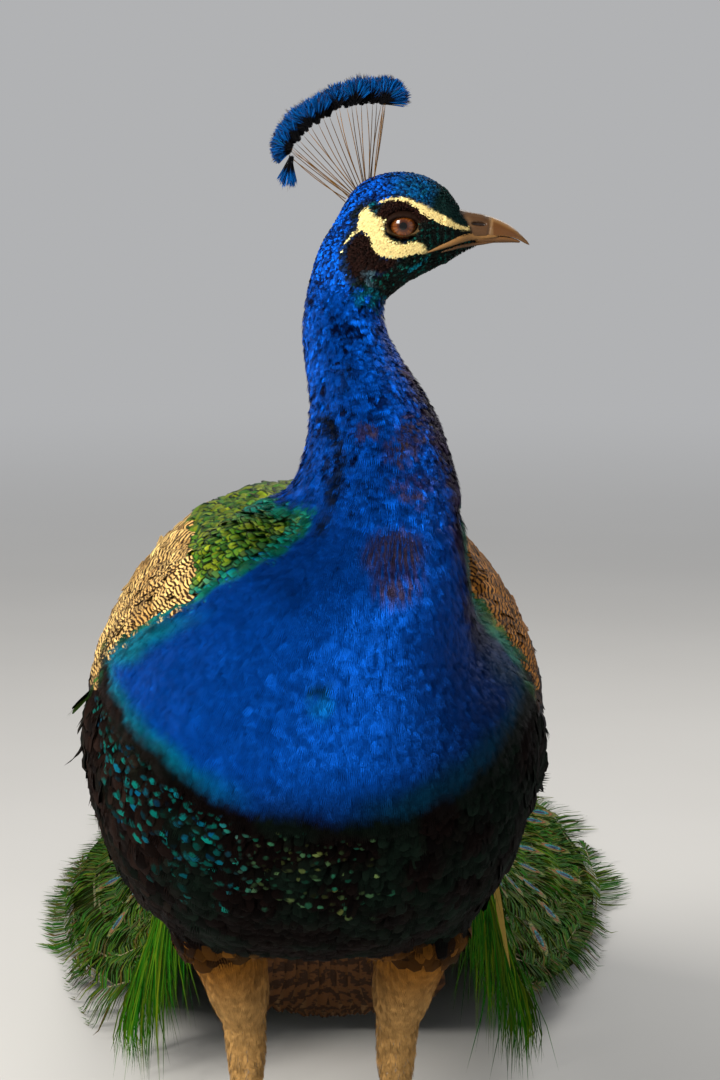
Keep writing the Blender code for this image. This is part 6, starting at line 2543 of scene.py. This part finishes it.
    def eye(self, strips: Strips, end: float, v: float, size: float, place: Array) -> None:
        """One plume's eye, a slightly hollow disc over its barbs."""
        long, wide = (share * size for share in self.eye_size)
        middle = end - 0.012 * size
        arc = self.point(np.full(3, middle), np.array((v - 0.02, v, v + 0.02)))
        per_v = np.linalg.norm(arc[2] - arc[0]) / 0.04
        rings, spokes = (0.0, 0.34, 0.68, 1.0), 20
        turns = np.linspace(0, 2 * math.pi, spokes, endpoint=False)
        points, vanes = [], []
        for ring in rings[1:]:
            jag = 1 + (0.05 * np.cos(turns * 10) if ring == 1.0 else 0)
            ahead = np.cos(turns) * ring * long * jag
            beside = np.sin(turns) * ring * wide * jag * (1 - 0.1 * np.cos(turns))
            points.append(
                self.point(
                    middle + ahead, np.clip(v + beside / per_v, -1.1, 1.1),
                    np.full(spokes, self.eye_lift - 0.001 * ring)
                )
            )
            vanes.append(
                np.stack((np.cos(turns) * ring / 2 + 0.5, np.sin(turns) * ring / 2 + 0.5, 0 * turns), axis=1)
            )
        points.append(self.point(np.array((middle,)), np.array((v,)), np.array((self.eye_lift,))))
        vanes.append(np.array(((0.5, 0.5, 0.0),)))
        centre = 3 * spokes
        order = np.arange(spokes)
        after = (order + 1) % spokes
        triangles = np.stack((np.full(spokes, centre), order, after), axis=1)
        quads = np.concatenate(
            [
                np.stack(
                    (k * spokes + order, (k + 1) * spokes + order, (k + 1) * spokes + after, k * spokes + after),
                    axis=1
                ) for k in (0, 1)
            ]
        )
        vane = np.concatenate(vanes)
        spread = place + (vane[:, :2] - 0.5) * 0.016
        strips.add(np.concatenate(points), quads, triangles, np.tile((0.1, 0.1, 0.1), (centre + 1, 1)), vane, spread)


# --- legs ---
@dataclass
class Legs:
    """Each leg's scaly shank and foot in one skin, its claws and its spur."""

    voxel: float = 0.0012
    plate: float = 0.0046  # height of each plate on the shank
    toe_plate: float = 0.0036
    # Each toe's heading, in degrees outwards from straight ahead.
    toes: tuple[tuple[str, float], ...] = (("inner", -34.0), ("middle", 3.0), ("outer", 38.0), ("back", -160.0))

    def build(self) -> None:
        """Makes both legs."""
        for name, side in (("left", 1), ("right", -1)):
            self.leg(name, side)
            claws = [f"claw_{toe}_{name}" for toe, _ in self.toes]
            self.horn(f"claws_{name}", claws, (0.05, 0.032, 0.022))
            self.horn(f"leg_spur_{name}", [f"spur_{name}"], (0.2, 0.14, 0.085))

    def horn(self, name: str, nodes: list[str], tone: Triple) -> None:
        """Claws or a spur, rounded from their solids."""
        piece = copy_of(*nodes, name=name)
        apply(piece, "SUBSURF", levels=1, render_levels=1)
        piece.data.shade_smooth()
        points = points_of(piece)
        low = points[:, 2].min()
        tones = blend(tone, np.array(tone) * 0.45, soft(points[:, 2] - low, 0.004, 0.006))
        set_attribute(piece, "tone", tones)
        dress(piece, Horn("claw_horn", roughness=0.3, grain=900.0), "horn")

    def leg(self, name: str, side: int) -> Piece:
        """One leg's skin, with plates down its front and along its toes.

        Args:
            name: Left or right.
            side: 1 for the left.

        Returns:
            The skin.
        """
        nodes = (f"shank_{name}", f"foot_{name}")
        piece = rounded_copy(*nodes, name=f"leg_skin_{name}", voxel=self.voxel, rounds=3)
        points, normals = points_of(piece), normals_of(piece)
        x, y, z = points.T
        shank = soft(z, 0.026, 0.006)
        middle_y = np.interp(
            z, (0.0205, 0.03, 0.064, 0.11, 0.134, 0.148, 0.17), (0.0045, 0.007, 0.0165, 0.029, 0.035, 0.0355, 0.029)
        )
        front = soft(middle_y + 0.002 - y, 0.0, 0.003) * shank
        plate = np.abs(((z / self.plate + 0.1 * np.sin(x * 900)) % 1) - 0.5) * 2
        groove = soft(plate, 0.86, 0.22)
        cells = ripple(points, 0.0022, 63)
        relief = -0.00045 * groove * front - 0.00022 * soft(
            -np.abs(cells), -0.25, 0.4
        ) * (1 - front) * soft(z, 0.012, 0.01)
        on_top = np.zeros(len(points))
        ankle = np.array((side * 0.048, 0.004))
        for _, heading in self.toes:
            turn = math.radians(heading) * side
            way = np.array((math.sin(turn), -math.cos(turn)))
            local = np.stack((x, y), axis=1) - ankle
            along, beside = local @ way, np.abs(local @ np.array((way[1], -way[0])))
            on = soft(
                0.0082 - beside, 0, 0.002
            ) * soft(along, 0.006, 0.004) * soft(normals[:, 2], 0.1, 0.5) * (1 - shank)
            bands = np.abs(((along / self.toe_plate) % 1) - 0.5) * 2
            relief -= 0.0004 * soft(bands, 0.84, 0.26) * on
            on_top = np.maximum(on_top, soft(bands, 0.84, 0.26) * on)
        points = points + normals * relief[:, None]
        points[:, 2] = np.where(points[:, 2] < 0.0007, 0.0, points[:, 2])
        move_points(piece, points)
        piece.data.shade_smooth()
        tone = np.tile((0.255, 0.19, 0.125), (len(points), 1)) * (1 + 0.12 * cells)[:, None].clip(0.7, 1.3)
        tone = blend(tone, (0.09, 0.064, 0.042), np.clip(groove * front + on_top, 0, 1) * 0.75)
        tone = blend(tone, (0.12, 0.095, 0.075), soft(-z, -0.02, 0.014) * 0.5)
        set_attribute(piece, "tone", tone)
        return dress(piece, Horn("leg_scales", roughness=0.5, grain=1500.0, depth=0.0002, coat=0.1), "leg_scales")


# --- the studio ---
AIR = (0.88, 0.89, 0.91)
AIR_STRENGTH = 0.5


@dataclass(frozen=True)
class Paper(Finish):
    """The pale floor, which fades into the studio's air far from the bird."""

    name: str = "pale_floor"

    def paint(self) -> bpy.types.Material:
        """A plain pale paper with the faintest mottling."""
        board = Board(self.name)
        cloud = board.noise(2.0)
        paper = board.mix(cloud, (0.6, 0.59, 0.57), (0.66, 0.65, 0.63))
        ahead, beside = (board.axis(board.place(), letter) for letter in "XY")
        reach = (ahead * ahead + beside * beside).power(0.5)
        glow = board.node("ShaderNodeEmission", None, {"Color": AIR, "Strength": AIR_STRENGTH})
        faded = board.node(
            "ShaderNodeMixShader", None, {0: reach.step(1.3, 5.0), 1: board.shader.outputs[0], 2: glow.outputs[0]}
        )
        board.feed(board.tree.nodes["Material Output"].inputs["Surface"], faded.outputs[0])
        return board.set(Base_Color=paper, Roughness=0.85, Specular_IOR_Level=0.1)


@dataclass
class Studio:
    """The floor, the lights and the camera."""

    floor_side: float = 14.0
    target: Triple = (0.025, -0.06, 0.487)
    distance: float = 2.0
    elevation: float = 8.0  # degrees
    span: float = 0.648  # what the frame's height takes in at the target
    sensor: float = 36.0

    def build(self) -> None:
        """Makes the floor, the lights and the camera."""
        bpy.ops.mesh.primitive_plane_add(size=self.floor_side, location=(0, 0, 0))
        floor = bpy.context.object
        floor.name = "floor"
        floor.data.materials.append(Paper().material())
        self.light("key_light", (-1.35, -1.75, 1.75), 0.9, 108.0, (1.0, 0.96, 0.89))
        self.light("fill_light", (1.9, -1.6, 0.9), 1.6, 5.0, (0.9, 0.95, 1.0))
        self.light("back_light", (0.9, 1.8, 1.9), 1.2, 17.0, (1.0, 0.97, 0.92))
        self.light("left_rim_light", (-1.8, 0.7, 1.1), 0.9, 5.0, (1.0, 0.95, 0.88))
        world = bpy.data.worlds.new("studio_air")
        world.use_nodes = True
        world.node_tree.nodes["Background"].inputs["Color"].default_value = (*AIR, 1.0)
        world.node_tree.nodes["Background"].inputs["Strength"].default_value = AIR_STRENGTH
        scene = bpy.context.scene
        scene.world = world
        scene.view_settings.view_transform = "Standard"
        self.camera()

    def light(self, name: str, place: Triple, size: float, power: float, colour: Triple) -> None:
        """A soft square light that looks at the bird's breast.

        Args:
            name: Its name.
            place: Where it stands, in the bird's frame.
            size: Its side.
            power: Its power, in watts.
            colour: Its colour.
        """
        data = bpy.data.lights.new(name, "AREA")
        data.size, data.energy, data.color = size, power, colour
        lamp = bpy.data.objects.new(name, data)
        bpy.context.scene.collection.objects.link(lamp)
        lamp.location = Vector(np.array(place) + SHIFT)
        way = Vector(np.array(self.target) + SHIFT) - lamp.location
        lamp.rotation_euler = way.to_track_quat("-Z", "Y").to_euler()

    def camera(self) -> None:
        """The camera, straight ahead of the bird and a little above it."""
        data = bpy.data.cameras.new("camera")
        data.sensor_width = self.sensor
        data.lens = self.sensor * self.distance / self.span
        camera = bpy.data.objects.new("camera", data)
        bpy.context.scene.collection.objects.link(camera)
        rise = math.radians(self.elevation)
        target = Vector(np.array(self.target) + SHIFT)
        back = Vector((0.0, -math.cos(rise), math.sin(rise)))
        camera.location = target + back * self.distance
        camera.rotation_euler = (-back).to_track_quat("-Z", "Y").to_euler()
        bpy.context.scene.camera = camera


def main() -> None:
    """Builds the peacock's pieces in order, then the studio."""
    logging.basicConfig(level=logging.INFO, format="%(message)s")
    surface = Surface(Skin().build())
    coat = BodyCoat(surface)
    coat.build()
    Legs().build()
    coat.thighs()
    for name, side in (("left", 1), ("right", -1)):
        Eye(name, side, surface).build()
    Bill(surface).build()
    Crest().build()
    FlightFeathers().build()
    Tail().build()
    Train().build()
    Studio().build()


if __name__ == "__main__":
    main()
